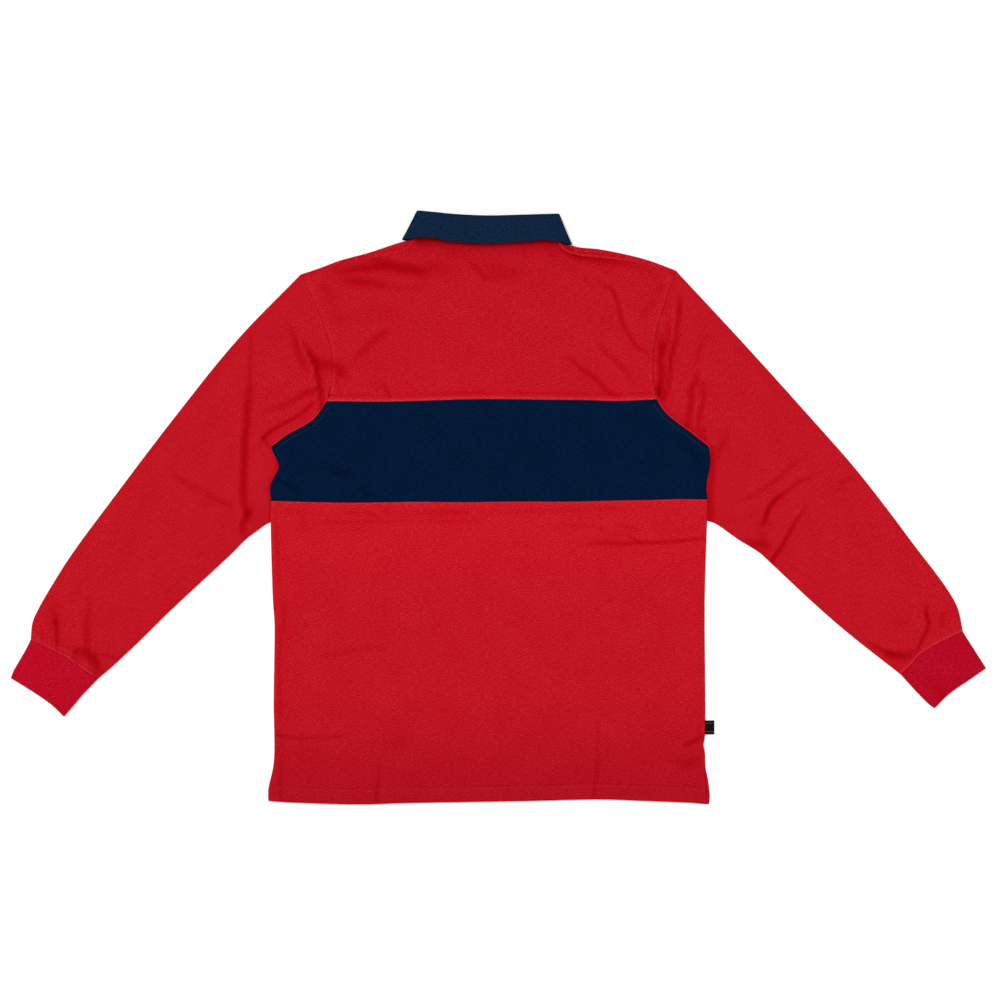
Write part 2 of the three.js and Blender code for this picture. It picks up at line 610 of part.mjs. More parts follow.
function collarSections() {
  const along = (rows, count) => {
    const lines = ["seam", "roll", "edge"].map((key) => curve(rows.map((row) => row[key])));
    return spread(count).map((share) => {
      const [seam, roll, edge] = lines.map((line) => line(share));
      return { seam, roll, edge };
    });
  };
  const mirrored = COLLAR_FRONT.map((row) => {
    const flip = ([x, y]) => [2 * COLLAR_CENTRE_X - x, y];
    return { seam: flip(row.seam), roll: flip(row.roll), edge: flip(row.edge) };
  });
  const up = Math.PI / 2;
  const across = [1, 0];
  const frontLeft = along([COLLAR_SIDE_LEFT, ...COLLAR_FRONT], FRONT_STATIONS);
  const frontRight = along([COLLAR_SIDE_RIGHT, ...mirrored], FRONT_STATIONS);
  const back = along(COLLAR_BACK, BACK_STATIONS);
  return [
    ...frontLeft.reverse().map((row) => ({ ...row, angle: -up, outward: across })),
    ...SIDE_ANGLES.map((angle) => ({ ...COLLAR_SIDE_LEFT, angle, outward: SIDE_OUTWARD_LEFT })).reverse(),
    ...back.map((row) => ({ ...row, angle: up, outward: across })),
    ...SIDE_ANGLES.map((angle) => ({ ...COLLAR_SIDE_RIGHT, angle, outward: SIDE_OUTWARD_RIGHT })),
    ...frontRight.map((row) => ({ ...row, angle: -up, outward: across })),
  ];
}

function collarGeometry() {
  const sections = collarSections();
  const half = TWILL / 2;
  const rollRadius = (LEAF_RADIUS - STAND_RADIUS) / 2;
  const points = sections.flatMap(({ seam, roll, edge, angle, outward }) => {
    const at = (plan, radius) => [
      plan[0] + outward[0] * radius * Math.cos(angle),
      plan[1] + outward[1] * radius * Math.cos(angle),
      COLLAR_MIDDLE_Z + radius * Math.sin(angle),
    ];
    const onward = unit(seam, roll);
    const stand = STAND_SHARES.map((share) => {
      const plan = mix(seam, roll, share);
      return [at(plan, STAND_RADIUS - half), at(plan, STAND_RADIUS + half)];
    });
    const turn = ROLL_ANGLES.map((beta) =>
      [rollRadius + half, rollRadius - half].map((reach) =>
        at(add(roll, onward, reach * Math.cos(beta)), STAND_RADIUS + rollRadius + reach * Math.sin(beta)))
    );
    const leaf = LEAF_SHARES.map((share) => {
      const plan = mix(roll, edge, share);
      return [at(plan, LEAF_RADIUS + half), at(plan, LEAF_RADIUS - half)];
    });
    return [...stand, ...turn, ...leaf];
  });
  return wallGeometry(points, gridQuads(sections.length, points.length / sections.length));
}

// Placket, buttons and side tab

function placketGeometry() {
  const rows = spread(ROWS_PLACKET);
  const columns = spread(COLUMNS_PLACKET);
  const pairAt = (u, v) => {
    const x = COLLAR_CENTRE_X + (u - 0.5) * PLACKET.width;
    return flatPair(x, lerp(PLACKET.top, PLACKET.bottom, v), PLACKET.low + TWILL / 2, TWILL);
  };
  const points = rows.flatMap((v) => columns.map((u) => pairAt(u, v)));
  return wallGeometry(points, gridQuads(rows.length, columns.length));
}

function buttonGeometry() {
  const { radius, rim, edge, high, dish, sides } = BUTTON;
  const inner = radius - rim;
  const profile = [
    [0, dish],
    [inner - dish, dish],
    [inner, 0],
    [radius - edge, 0],
    [radius, edge],
    [radius, high - edge],
    [radius - edge, high],
    [0, high],
  ].map(([x, y]) => new THREE.Vector2(x, y));
  const geometry = new THREE.LatheGeometry(profile, sides);
  geometry.rotateX(Math.PI / 2);
  return geometry;
}

function labelGeometry() {
  const { seam, end, low, high, seamMiddle, endMiddle, thick } = LABEL;
  const columns = spread(COLUMNS_LABEL);
  const rows = spread(ROWS_LABEL);
  const middleAt = (u) => lerp(seamMiddle, endMiddle, smooth(u));
  const points = rows.flatMap((v) =>
    columns.map((u) => flatPair(lerp(seam, end, u), lerp(high, low, v), middleAt(u), thick))
  );
  return wallGeometry(points, gridQuads(rows.length, columns.length));
}

// Materials and the finished shirt

const FINISH = {
  red: { color: 0xbf1523, roughness: 0.85 },
  rib: { color: 0xb50f24, roughness: 0.88 },
  navy: { color: 0x061a36, roughness: 0.85 },
  twill: { color: 0x10253f, roughness: 0.8 },
  rubber: { color: 0x1a1f2a, roughness: 0.5 },
  tab: { color: 0x15161a, roughness: 0.7 },
};

const shirt = new THREE.Group();

function addPiece(name, geometry, finish) {
  const { color, roughness } = FINISH[finish];
  const piece = new THREE.Mesh(geometry, new THREE.MeshStandardMaterial({ color, roughness, metalness: 0 }));
  piece.name = name;
  shirt.add(piece);
  return piece;
}

addPiece("front_upper", frontUpperGeometry(), "red");
addPiece("front_band", frontPanel(band, bandRows, plainThick), "navy");
addPiece("front_lower", frontPanel(lowerFront, frontLowerRows, hemThick), "red");
addPiece("back_upper", backPanel(upperBack, upperRows, plainThick, false), "red");
addPiece("back_band", backPanel(band, bandRows, plainThick, false), "navy");
addPiece("back_lower", backPanel(lowerBack, backLowerRows, hemThick, true), "red");
for (const side of ["Left", "Right"]) {
  const { sleeve, cuff } = sleeveAndCuff(side);
  addPiece(`sleeve_${side.toLowerCase()}`, sleeve, "red");
  addPiece(`cuff_${side.toLowerCase()}`, cuff, "rib");
}
addPiece("collar", collarGeometry(), "twill");
addPiece("placket", placketGeometry(), "twill");
BUTTON.rows.forEach((y, index) => {
  const button = addPiece(`button_${index + 1}`, buttonGeometry(), "rubber");
  button.position.set(COLLAR_CENTRE_X, y, 0);
});
addPiece("side_label", labelGeometry(), "tab");

export default shirt;
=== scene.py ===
import math

import bpy
import numpy as np
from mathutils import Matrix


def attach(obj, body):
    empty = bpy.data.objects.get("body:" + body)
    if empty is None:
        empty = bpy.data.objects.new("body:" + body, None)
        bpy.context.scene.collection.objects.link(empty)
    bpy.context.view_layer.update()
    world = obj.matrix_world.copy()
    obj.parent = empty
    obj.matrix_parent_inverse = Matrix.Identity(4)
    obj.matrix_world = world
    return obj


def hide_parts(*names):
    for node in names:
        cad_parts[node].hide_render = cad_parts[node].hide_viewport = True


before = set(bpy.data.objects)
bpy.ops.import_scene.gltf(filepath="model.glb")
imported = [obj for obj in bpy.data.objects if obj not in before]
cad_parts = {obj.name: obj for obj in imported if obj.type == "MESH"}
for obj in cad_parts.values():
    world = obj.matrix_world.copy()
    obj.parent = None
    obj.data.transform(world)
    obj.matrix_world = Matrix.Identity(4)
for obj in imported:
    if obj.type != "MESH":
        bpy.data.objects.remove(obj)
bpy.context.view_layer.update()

MM = 0.001

# Camera: straight overhead. The picture is 1000 pixels wide and one pixel is 1.3 mm on the surface.

PICTURE_WIDTH = 1300 * MM
CAMERA_HEIGHT = 2500 * MM
CAMERA_X = 2.6 * MM
CAMERA_Y = 10.4 * MM
SENSOR_WIDTH = 36

camera = bpy.data.objects.new("camera", bpy.data.cameras.new("camera"))
bpy.context.scene.collection.objects.link(camera)
camera.location = (CAMERA_X, CAMERA_Y, CAMERA_HEIGHT)
camera.data.sensor_width = SENSOR_WIDTH
camera.data.lens = SENSOR_WIDTH * CAMERA_HEIGHT / PICTURE_WIDTH
camera.data.clip_end = 20
bpy.context.scene.camera = camera

# Sizes of the shirt, in millimetres as in its solids

CLOTH = 1.2  # thickness of the solids' cloth
SHELL = 1.0  # thickness of the thin shells
SEAM_GAP = 0.15  # beside the sleeves and cuffs
LAYER_GAP = 0.3  # between layers that lie on each other
LEAST_REST = 1.8  # the back never sinks deeper than this over the front
HEM_DEPTH = 19
HEM_HIGH = 0.35  # how much the turned cloth of the hem lifts it
BACK_REST = 3.4  # height of the back where nothing lifts it
TIP_WRAP = 0.033  # share of the armhole that the shoulder's rolled tip takes
# Shares of the upper panels' top edge where the left shoulder ends and the right one starts
SHOULDER_STRETCH_LEFT = 0.31
SHOULDER_STRETCH_RIGHT = 0.69
STEP = 2.2  # spacing of the grids
EDGE_ROWS = (0, 0.5, 1.2, 2.2)  # their first rows from each edge, which lie closer
BODY_WIDE = 565  # the lengths that the grids of the body's panels are spaced for
SHOULDERS_WIDE = 486
UPPER_LONG = 212
FRONT_UPPER_LONG = 205
BAND_LONG = 150
LOWER_LONG = 392
CUFF_LONG = 58
CUFF_STEP = 2.4
FLOOR_GAP = 0.05  # between the front and the floor
TUBE_FLOOR_GAP = 0.12

# Edges of the pieces in plan: rows of x, y

EDGE = {
    "fold_left": [(-256.5, 303.5), (-233, 311.2), (-205, 321.6), (-167, 331.8), (-135, 342.3), (-124, 345.4),
                  (-113.5, 348.5)],
    "seam_left": [(-233, 306), (-205, 315), (-172, 322), (-142, 328), (-120, 334), (-111, 341), (-107, 349.5)],
    "neck_back": [(-107, 349.5), (-88, 352), (-59, 350), (-14, 349), (31, 350), (63, 350.5), (77, 347.5)],
    "fold_right": [(86, 340.6), (96, 340), (107, 337.9), (129, 336.2), (154, 332), (194, 322.2), (230.8, 308.8)],
    "seam_right": [(77, 347.5), (81, 338), (90, 331.3), (107, 327), (142, 323.8), (174, 319.5), (198, 313)],
    "neck_front": [(-102, 311), (-77, 285), (-49, 271), (-14, 266), (21, 271), (49, 285), (74, 311)],
    "armhole_left": [(-256.5, 303.5), (-234, 256), (-218, 207), (-216, 187), (-217, 163), (-222, 138.8)],
    "armhole_right": [(230.8, 308.8), (218, 268), (205, 223), (202, 188), (203, 161), (206, 141.3)],
    "band_top": [(-222, 138.8), (-160, 138.1), (-120, 138.6), (-82, 139.8), (-43, 141), (-4, 141.3), (75, 140.5),
                 (114, 140.2), (153, 139), (206, 141.3)],
    "band_bottom": [(-295, 9), (-201, 6.8), (-101, 7.8), (-43, 7.4), (35, 8.3), (75, 8), (114, 8.5), (153, 9.5),
                    (192, 10.1), (231, 11.2), (272, 11)],
    "band_end_left": [(-222, 138.8), (-238.3, 116.3), (-249.3, 108.3), (-271.3, 96.3), (-295, 79)],
    "band_side_left": [(-295, 79), (-285, 53), (-292, 38), (-296, 28), (-295, 9)],
    "band_end_right": [(206, 141.3), (215.5, 126.2), (228.4, 114.3), (247.5, 100.3), (274, 79.6)],
    "band_side_right": [(274, 79.6), (276, 59), (271, 31), (272, 11)],
    "side_left": [(-295, 9), (-295, -18), (-292, -120), (-290, -149), (-291, -250), (-291, -331), (-298, -366),
                  (-298, -380)],
    "side_right_back": [(272, 11), (271, -16), (268, -120), (268, -298), (266.4, -307), (268, -316), (269, -346),
                        (271, -383)],
    "side_right_front": [(272, 11), (271, -16), (268, -120), (268, -326), (273, -354), (275, -375), (274, -385)],
    "hem_back": [(-298, -380), (-268, -382), (-176, -384.5), (-132, -383), (38, -380), (133, -378), (192, -380),
                 (271, -383)],
    "hem_front": [(-298, -380), (-268, -381.5), (-176, -384), (38, -379), (150, -377.5), (215, -380), (274, -385)],
    "sleeve_out_left": [(-339, 218), (-423, 114), (-502, 10), (-553, -59), (-575.5, -94), (-597, -131),
                        (-604.8, -149), (-607, -171)],
    "sleeve_in_left": [(-302, -21.5), (-313, -29.5), (-327, -40), (-345, -58), (-426, -133.5), (-461, -168),
                       (-498, -203), (-520, -222)],
    "cuff_seam_left": [(-607, -171), (-583, -182), (-557, -196), (-533, -213), (-520, -222)],
    "cuff_out_left": [(-614, -185), (-629, -211), (-633, -221)],
    "cuff_in_left": [(-541, -244), (-551, -256), (-564, -271)],
    "cuff_end_left": [(-633, -221), (-617, -230.5), (-602, -240), (-580, -255.5), (-564, -271)],
    "sleeve_out_right": [(315, 218), (409, 114), (466, 49), (536, -42), (595, -125), (604, -161)],
    "sleeve_in_right": [(283.5, -20.8), (309.5, -39), (339.5, -57.8), (346, -63.5), (408, -121.5), (452, -160),
                        (523, -216)],
    "cuff_seam_right": [(604, -161), (583, -170), (546, -192), (537, -203), (523, -216)],
    "cuff_out_right": [(618, -183), (634, -208)],
    "cuff_in_right": [(543, -238), (560, -255), (567, -260)],
    "cuff_end_right": [(634, -208), (615, -221), (587, -240.5), (567, -260)],
}

# The collar's sections: neck seam, roll line and leaf edge

COLLAR_CENTRE_X = -14
COLLAR_SIDE_LEFT = ((-111, 351.8), (-101.2, 384.2), (-118.9, 347.8))
COLLAR_SIDE_RIGHT = ((82, 347.8), (75.6, 380.2), (90.4, 342.0))
CORNER_PULL = 1.3  # the roll's corners are rounded
TIP_REACH = 2.2  # the leaf's corners reach further down at the sides
COLLAR_BACK = [
    COLLAR_SIDE_LEFT,
    ((-88, 353), (-80, 382.1), (-94, 350.6)),
    ((-59, 350.9), (-55, 379.7), (-62, 345.4)),
    ((-14, 349.8), (-14, 377.9), (-14, 342.6)),
    ((31, 350.9), (29, 378.8), (32, 344.8)),
    ((62, 351.4), (59, 379.7), (66, 346.7)),
    COLLAR_SIDE_RIGHT,
]
COLLAR_FRONT = [
    ((-106, 337.5), (-93, 368), (-122.9, 331)),
    ((-99.5, 313), (-78, 341), (-117.7, 301)),
    ((-75.3, 287.2), (-55, 314), (-103.4, 272)),
    ((-48.3, 273.4), (-35.8, 300), (-82.5, 246)),
    ((-15.2, 268.5), (-15.2, 294), (-59, 224)),
]
COLLAR_MIDDLE_Z = 4.75
STAND_RADIUS = 2.35  # how far the stand and the leaf lie from that height
LEAF_RADIUS = 4.15
COLLAR_CLOTH = 1.1

# What lies under the front and lifts it: strip from x0, y0 to x1, y1, radius, height

LIFTS = [
    (-116, 354, -108, 296, 24, 1.8),
    (-100, 285, -66, 240, 36, 1.8),
    (88, 350, 80, 296, 24, 1.8),
    (72, 285, 38, 240, 36, 1.8),
    (-14, 268, -14, 98, 32, 3.1),
]
LIFT_FALL = 42
BACK_DOME = (-14, 300, -14, 150, 25)  # the back lies over the placket in one wide soft rise
BACK_DOME_FALL = 115
BACK_RISE = 2.7
NECK_RISE = (-107, 350, 77, 348, 4)
NECK_RISE_FALL = 56
NECK_MIDDLE = 7.1

# Creases. Each row has the places it passes, each with x, y and its share of the height there, then the half width
# and the height, which is negative for a trough.

CREASES_BACK = [
    # beside the neck and along the left shoulder
    ([(-168, 325, 0.2), (-155, 321, 0.8), (-142, 316, 1.2), (-128, 311, 1.2), (-111, 308, 1.2), (-97, 304, 0.7)],
     5, -1.15),
    ([(-150, 313, 0.9), (-165, 311, 1), (-182, 310.5, 0.8), (-196, 307, 0.6), (-212, 309.5, 0.4)], 4, -1.1),
    ([(-97, 305, 0.6), (-84, 311, 1), (-70, 310, 0.9), (-56, 304, 0.3)], 7, -0.55),
    ([(-150, 327, 0.3), (-130, 322, 1), (-108, 317, 0.9), (-92, 313, 0.3)], 3.4, 0.5),
    ([(-202, 294, 0.3), (-188, 293, 1.1), (-166, 291, 1.1), (-148, 289, 0.7)], 4.6, -1.15),
    ([(-148, 287, 0.5), (-125, 285, 0.6), (-108, 284, 0.8), (-90, 287, 0.2)], 4.5, -0.55),
    ([(-205, 301, 0.3), (-180, 302, 1), (-140, 300, 0.8), (-110, 297, 0.3)], 5, 0.3),
    ([(-118, 325, 0.4), (-113, 331, 1)], 2, -0.7),
    ([(-128, 322, 0.3), (-118, 318, 0.8), (-110, 311, 0.8), (-106, 303, 0.3)], 2.2, -0.5),
    ([(-215, 301, 0.3), (-190, 307, 0.9), (-155, 313, 1), (-118, 311, 1), (-80, 306, 0.4)], 7.5, -0.6),
    ([(84, 335, 0.4), (104, 325, 1), (140, 319, 1.1), (175, 314, 0.8), (208, 303, 0.3)], 4.6, -0.9),
    # the soft fold below the middle of the neck
    ([(-42, 321, 0.2), (-30, 312.5, 0.9), (-19, 301, 1.2), (-13, 297, 0.5)], 3, -0.8),
    ([(-28, 316, 0.4), (-8, 309, 1), (15, 304, 1), (32, 302, 0.3)], 9, -0.6),
    ([(-17, 297, 0.8), (-4, 298, 0.8), (8, 300, 0.2)], 3, -0.5),
    ([(-62, 336, 0.2), (-50, 328, 1), (-40, 321, 0.3)], 5, -0.35),
    # left of the upper back
    ([(-192, 185, 0.2), (-180, 198, 0.7), (-166, 212, 1.1), (-155, 221, 1.1), (-147, 227, 1), (-141, 232, 0.2)],
     4.2, -0.85),
    ([(-226, 289, 0.6), (-219, 275, 1), (-213, 261, 0.2)], 5, -0.7),
    ([(-213, 251, 0.6), (-206, 244, 1), (-203, 236, 0.2)], 5.5, -0.6),
    ([(-158, 252, 0.3), (-143, 250, 1), (-128, 249, 0.3)], 8, -0.35),
    ([(-232, 188, 0.9), (-222, 184, 1), (-213, 183, 1), (-206, 181, 1.1), (-201, 174, 1), (-196, 169, 0.4)],
     5.6, -1.3),
    ([(-207, 176, 1), (-208.5, 162, 0.8), (-206, 150, 0.5)], 2.4, -0.8),
    ([(-216, 172, 0.6), (-214, 160, 1), (-213, 150, 0.6)], 3.6, 0.5),
    ([(-160, 163, 0.6), (-152, 158, 1), (-145, 152, 0.8)], 4.5, -0.35),
    ([(-146, 157, 0.5), (-143, 150, 1), (-140, 144, 0.9)], 1.9, -0.9),
    # right of the upper back
    ([(131, 295, 0.3), (138, 288, 0.8), (148, 283, 1.2), (153, 275, 1.2), (157, 261, 1), (160, 247, 1.1),
      (164, 235, 1), (171, 224, 0.9), (177, 214, 0.8), (182, 208, 1), (192, 203, 0.5)], 2.5, -1.1),
    ([(150, 289, 0.3), (160, 268, 1), (166, 245, 0.8), (176, 228, 0.3)], 4, 0.35),
    ([(130, 215, 0.3), (136, 206, 1), (145, 199, 0.9), (155, 189, 0.9), (164, 180, 1), (169, 174, 0.8),
      (175, 163, 0.4), (179, 156, 0.2)], 3.6, -0.75),
    ([(84, 197, 0.2), (95, 193, 0.7), (104, 184, 0.8), (113, 177, 1.1), (122, 171, 1.2), (132, 162, 1.1),
      (140, 153, 1.2), (149, 148, 1), (158, 145, 0.5)], 3, -1.0),
    ([(110, 303, 0.2), (116, 293, 1), (123, 284, 0.3)], 3, -0.5),
    ([(122, 311, 0.2), (140, 309, 1), (152, 304, 0.3)], 3.4, -0.35),
    ([(88, 314, 0.3), (97, 311, 1), (106, 304, 0.3)], 5, -0.35),
    ([(213, 286, 0.6), (209, 283, 1)], 4.5, -0.5),
    ([(207, 276, 0.3), (199, 263, 1), (191, 252, 1.2), (183, 241, 0.2)], 5, -0.45),
    ([(190, 204, 0.4), (196, 198, 1), (197, 184, 0.3)], 2.2, -0.4),
    # on the band
    ([(-287, 38, 0.5), (-272, 30, 1), (-258, 20, 0.5)], 3, -0.8),
    ([(-225, 54, 0.3), (-203, 46, 1), (-184, 40, 0.3)], 4, -0.6),
    ([(-180, 25, 0.5), (-168, 19, 1)], 4, -0.5),
    ([(236, 88, 0.3), (252, 72, 1), (262, 52, 0.4)], 6, -0.4),
    # below the band
    ([(-276, -2, 0.6), (-266, -3, 1), (-252, -4, 0.3)], 2, -0.6),
    ([(-256, 0, 0.4), (-253, -14, 1), (-254, -32, 0.3)], 2.8, -0.35),
    ([(-195, -7, 0.8), (-182, -5, 0.5), (-172, -6, 0.8), (-163, -10, 1.2), (-154, -12, 0.5)], 2.6, -0.7),
    ([(-222, -19.5, 0.5), (-195, -19, 1.1), (-172, -17.5, 1.1), (-152, -18, 0.8), (-120, -17, 0.3), (-90, -18, 0.5),
      (-62, -18, 0.6), (-20, -17, 0.3)], 1.9, -0.6),
    ([(-220, -28, 0.2), (-190, -29, 1), (-158, -29, 0.2)], 3, -0.3),
    ([(-130, -8, 0.3), (-100, -7, 0.6), (-62, -6, 1), (-46, -5, 1.1), (-38, -5, 0.2)], 3.4, -0.55),
    ([(-20, -6, 0.3), (20, -5, 0.6), (60, -4.5, 0.8), (100, -2, 0.9), (118, -2, 0.3)], 3.6, -0.4),
    ([(122, -1, 0.4), (145, -1, 1), (165, -2, 0.4)], 2.4, -0.5),
    ([(-145, 1, 0.6), (-144, -5, 1), (-144, -11, 0.2)], 2, -0.7),
    ([(133, 2, 0.6), (133, -16, 1), (133, -36, 0.2)], 2.2, -0.35),
    ([(86, -23, 0.3), (105, -24, 0.9), (120, -24, 0.8), (130, -27, 1), (139, -31, 0.8), (152, -34, 0.6),
      (172, -37, 0.4)], 2.3, -0.45),
    ([(156, -22, 0.5), (168, -25, 1), (181, -29, 0.7)], 2.4, -0.65),
    ([(200, -34, 0.3), (235, -31, 0.8), (263, -30, 0.4)], 2.6, -0.25),
    ([(108, -50, 0.2), (122, -47, 0.6), (142, -46, 0.8), (160, -47, 1), (180, -46, 1.1), (197, -45.5, 1.2),
      (216, -45, 1.1), (236, -43, 1.1), (255, -41.5, 1), (268, -40, 0.8)], 2.2, -1.1),
    ([(118, -43, 0.3), (135, -42, 1), (155, -43, 0.3)], 4, -0.4),
    ([(171, -38, 0.7), (179, -42, 1), (188, -45, 0.8)], 1.8, -0.8),
    ([(0, -49, 0.2), (30, -50, 0.7), (60, -50, 0.3)], 4, -0.25),
    ([(259, -76, 0.2), (266, -64, 0.8)], 5, -0.35),
    ([(-145, -85, 0.3), (-146, -120, 1), (-147, -165, 0.2)], 2.8, -0.25),
    ([(132, -68, 0.3), (132.5, -80, 1), (133, -95, 0.2)], 5, -0.3),
    ([(153, -139, 0.3), (163, -147, 1), (171, -156, 0.6)], 3.6, -0.4),
    ([(82, -161, 0.4), (95, -167, 1)], 5, -0.3),
    ([(-222, -191, 0.4), (-213, -190.5, 1.2), (-204, -189, 0.6), (-192, -186, 0.9), (-176, -184, 0.8),
      (-160, -182, 0.6), (-148, -182, 0.3)], 2.7, -0.5),
    ([(1, -230, 0.3), (0, -270, 1), (1, -320, 0.3)], 3, -0.15),
    ([(-138, -304, 0.3), (-126, -307, 1), (-116, -309, 0.3)], 7, -0.35),
    # at the sides and the hem
    ([(-290, -3, 0.6), (-288, -30, 1), (-286, -55, 1), (-285, -85, 0.7), (-279, -110, 0.4), (-277, -128, 1),
      (-277, -146, 0.9), (-281, -170, 0.9), (-284, -200, 1), (-283, -230, 0.9), (-282, -255, 0.9),
      (-280, -278, 0.3)], 2.4, -0.55),
    ([(-293, -286, 0.6), (-287, -294, 1.3), (-278, -297, 1.2), (-262, -299, 0.8), (-245, -299.5, 0.5),
      (-222, -299, 0.6), (-206, -297, 0.6), (-192, -296, 0.2)], 2.3, -0.9),
    ([(-280, -306, 0.4), (-281, -335, 0.7), (-281, -362, 1), (-281, -381, 1)], 2.6, -0.6),
    ([(-155, -320, 0.2), (-155, -340, 0.6), (-155, -356, 1), (-157, -374, 1.3), (-157, -384, 1)], 2.5, -0.7),
    ([(131, -280, 0.3), (130, -300, 0.6), (130, -330, 0.8), (128.5, -346, 1.2), (127, -362, 1.2),
      (123, -382, 0.9)], 2.2, -0.6),
    ([(143, -296, 0.4), (143, -311, 1), (147, -319, 0.6)], 2, -0.35),
    ([(243, -308, 0.7), (252, -304.5, 1.3), (261, -300, 1.1), (266, -297, 0.6)], 2.6, -1.1),
    ([(261, -295, 0.6), (264, -282, 0.4)], 3, -0.4),
    ([(220, -321, 0.2), (235, -328, 0.6), (247, -333, 1.3), (257, -327, 0.6)], 5, -0.8),
    ([(148, -370, 0.3), (175, -371, 1), (205, -370, 0.3)], 6, -0.3),
]
CREASES_LEFT = [
    # drawn together at the underarm
    ([(-264, 234, 0.3), (-261.6, 226, 0.9), (-252.5, 206, 1.1), (-241.5, 184, 1.2), (-238, 162, 1.2),
      (-233.5, 144, 1.2), (-233, 130, 0.8)], 1.7, 2),
    ([(-270, 235, 0.3), (-264, 226, 1), (-261, 212, 1.1), (-258, 198, 1), (-253, 186, 0.8), (-247, 176, 0.3)],
     3.6, -1.2),
    ([(-252, 214, 0.3), (-246, 202, 1), (-238, 189, 1.3), (-234, 172, 1.3), (-231, 155, 1.3), (-229.5, 142, 1.2),
      (-228, 130, 0.9)], 3.4, -1.8),
    ([(-236, 190, 0.6), (-227, 186, 1.2), (-216, 183, 1)], 6.2, -1.2),
    ([(-237, 153, 1.2), (-250, 148, 1.1), (-262, 140.5, 1), (-275, 134, 0.8), (-290, 128, 0.6), (-306, 123, 0.3)],
     3.6, -1.1),
    ([(-240, 136, 1), (-250, 127.5, 1), (-262, 118, 1.1), (-280, 108, 1.1), (-295, 99, 1.2), (-304, 91, 1)],
     2, -1.3),
    ([(-304, 91, 1), (-300, 85, 1), (-296, 78, 0.8)], 1.9, -1.2),
    ([(-246, 126, 0.6), (-252, 117, 0.4)], 2.5, -0.6),
    ([(-250, 116, 0.4), (-270, 106, 1), (-290, 94, 0.7)], 4.5, 0.3),
    # the long crease beside the body
    ([(-320, 228, 0.4), (-321, 200, 1), (-322, 175, 1), (-321.5, 150, 1)], 2.6, -0.8),
    ([(-322, 152, 0.5), (-324, 132, 1), (-326, 108, 1.1), (-328, 80, 1.1), (-329, 50, 1.1), (-330, 22, 1.1),
      (-328.5, 4, 1), (-325, -7, 1)], 4, -1.6),
    ([(-335, 110, 0.5), (-336, 60, 1), (-335, 10, 0.4)], 3, 0.3),
    ([(-325, -7, 0.8), (-327, -14, 1.2), (-331, -22, 1), (-331.5, -30, 0.9), (-327, -36, 0.7)], 3.4, -1.4),
    ([(-319, 4, 0.4), (-319, -4, 1), (-323, -12, 0.8)], 3, -0.7),
    ([(-310, 80, 0.4), (-314, 50, 1), (-312, 20, 0.5)], 8, 0.4),
    ([(-419, 42, 0.4), (-412, 36, 1.1), (-402, 32, 0.8), (-394, 27, 1.1), (-382, 21, 0.6), (-370, 13, 1),
      (-358, 8, 0.9), (-348, 3, 0.9), (-342, -2, 0.2)], 3.4, -0.7),
    ([(-395, 12, 0.3), (-382, 6, 1)], 5, -0.3),
    # gathered above the cuff
    ([(-576, -118, 0.2), (-576, -132, 0.6), (-575, -148, 1.1)], 5.5, -1.0),
    ([(-574, -146, 0.7), (-572, -160, 1.1), (-571.5, -172, 1.2), (-571, -186, 1)], 2.5, -1.5),
    ([(-593.5, -158, 0.4), (-592, -168, 1), (-590, -178, 0.9)], 1.8, -0.9),
    ([(-588, -164, 0.4), (-586, -172, 1), (-584, -182, 0.7)], 1.8, -0.7),
    ([(-579, -170, 0.5), (-578, -184, 0.9)], 1.8, -0.7),
    ([(-564, -172, 0.6), (-564, -190, 1)], 1.8, -0.9),
    ([(-559, -178, 0.5), (-558, -192, 0.9)], 1.8, -0.7),
    ([(-554, -182, 0.6), (-551, -197, 1)], 2, -0.9),
    ([(-547.5, -187, 0.8), (-546, -202, 1.1)], 2.6, -1.3),
    ([(-530, -115, 0.3), (-531, -138, 0.7), (-533, -155, 1), (-533, -168, 1.1), (-532, -182, 0.9)], 3.8, -0.9),
    ([(-543, -187, 0.8), (-533, -190, 1.1), (-525, -197, 1.2), (-521, -207, 1.2), (-521, -218, 0.8)], 5.2, -2.1),
    ([(-520, -190, 0.9), (-507, -192, 0.8), (-496, -196, 0.7)], 2.8, -0.7),
    ([(-503, -152, 0.4), (-499, -136, 1)], 5, -0.3),
]
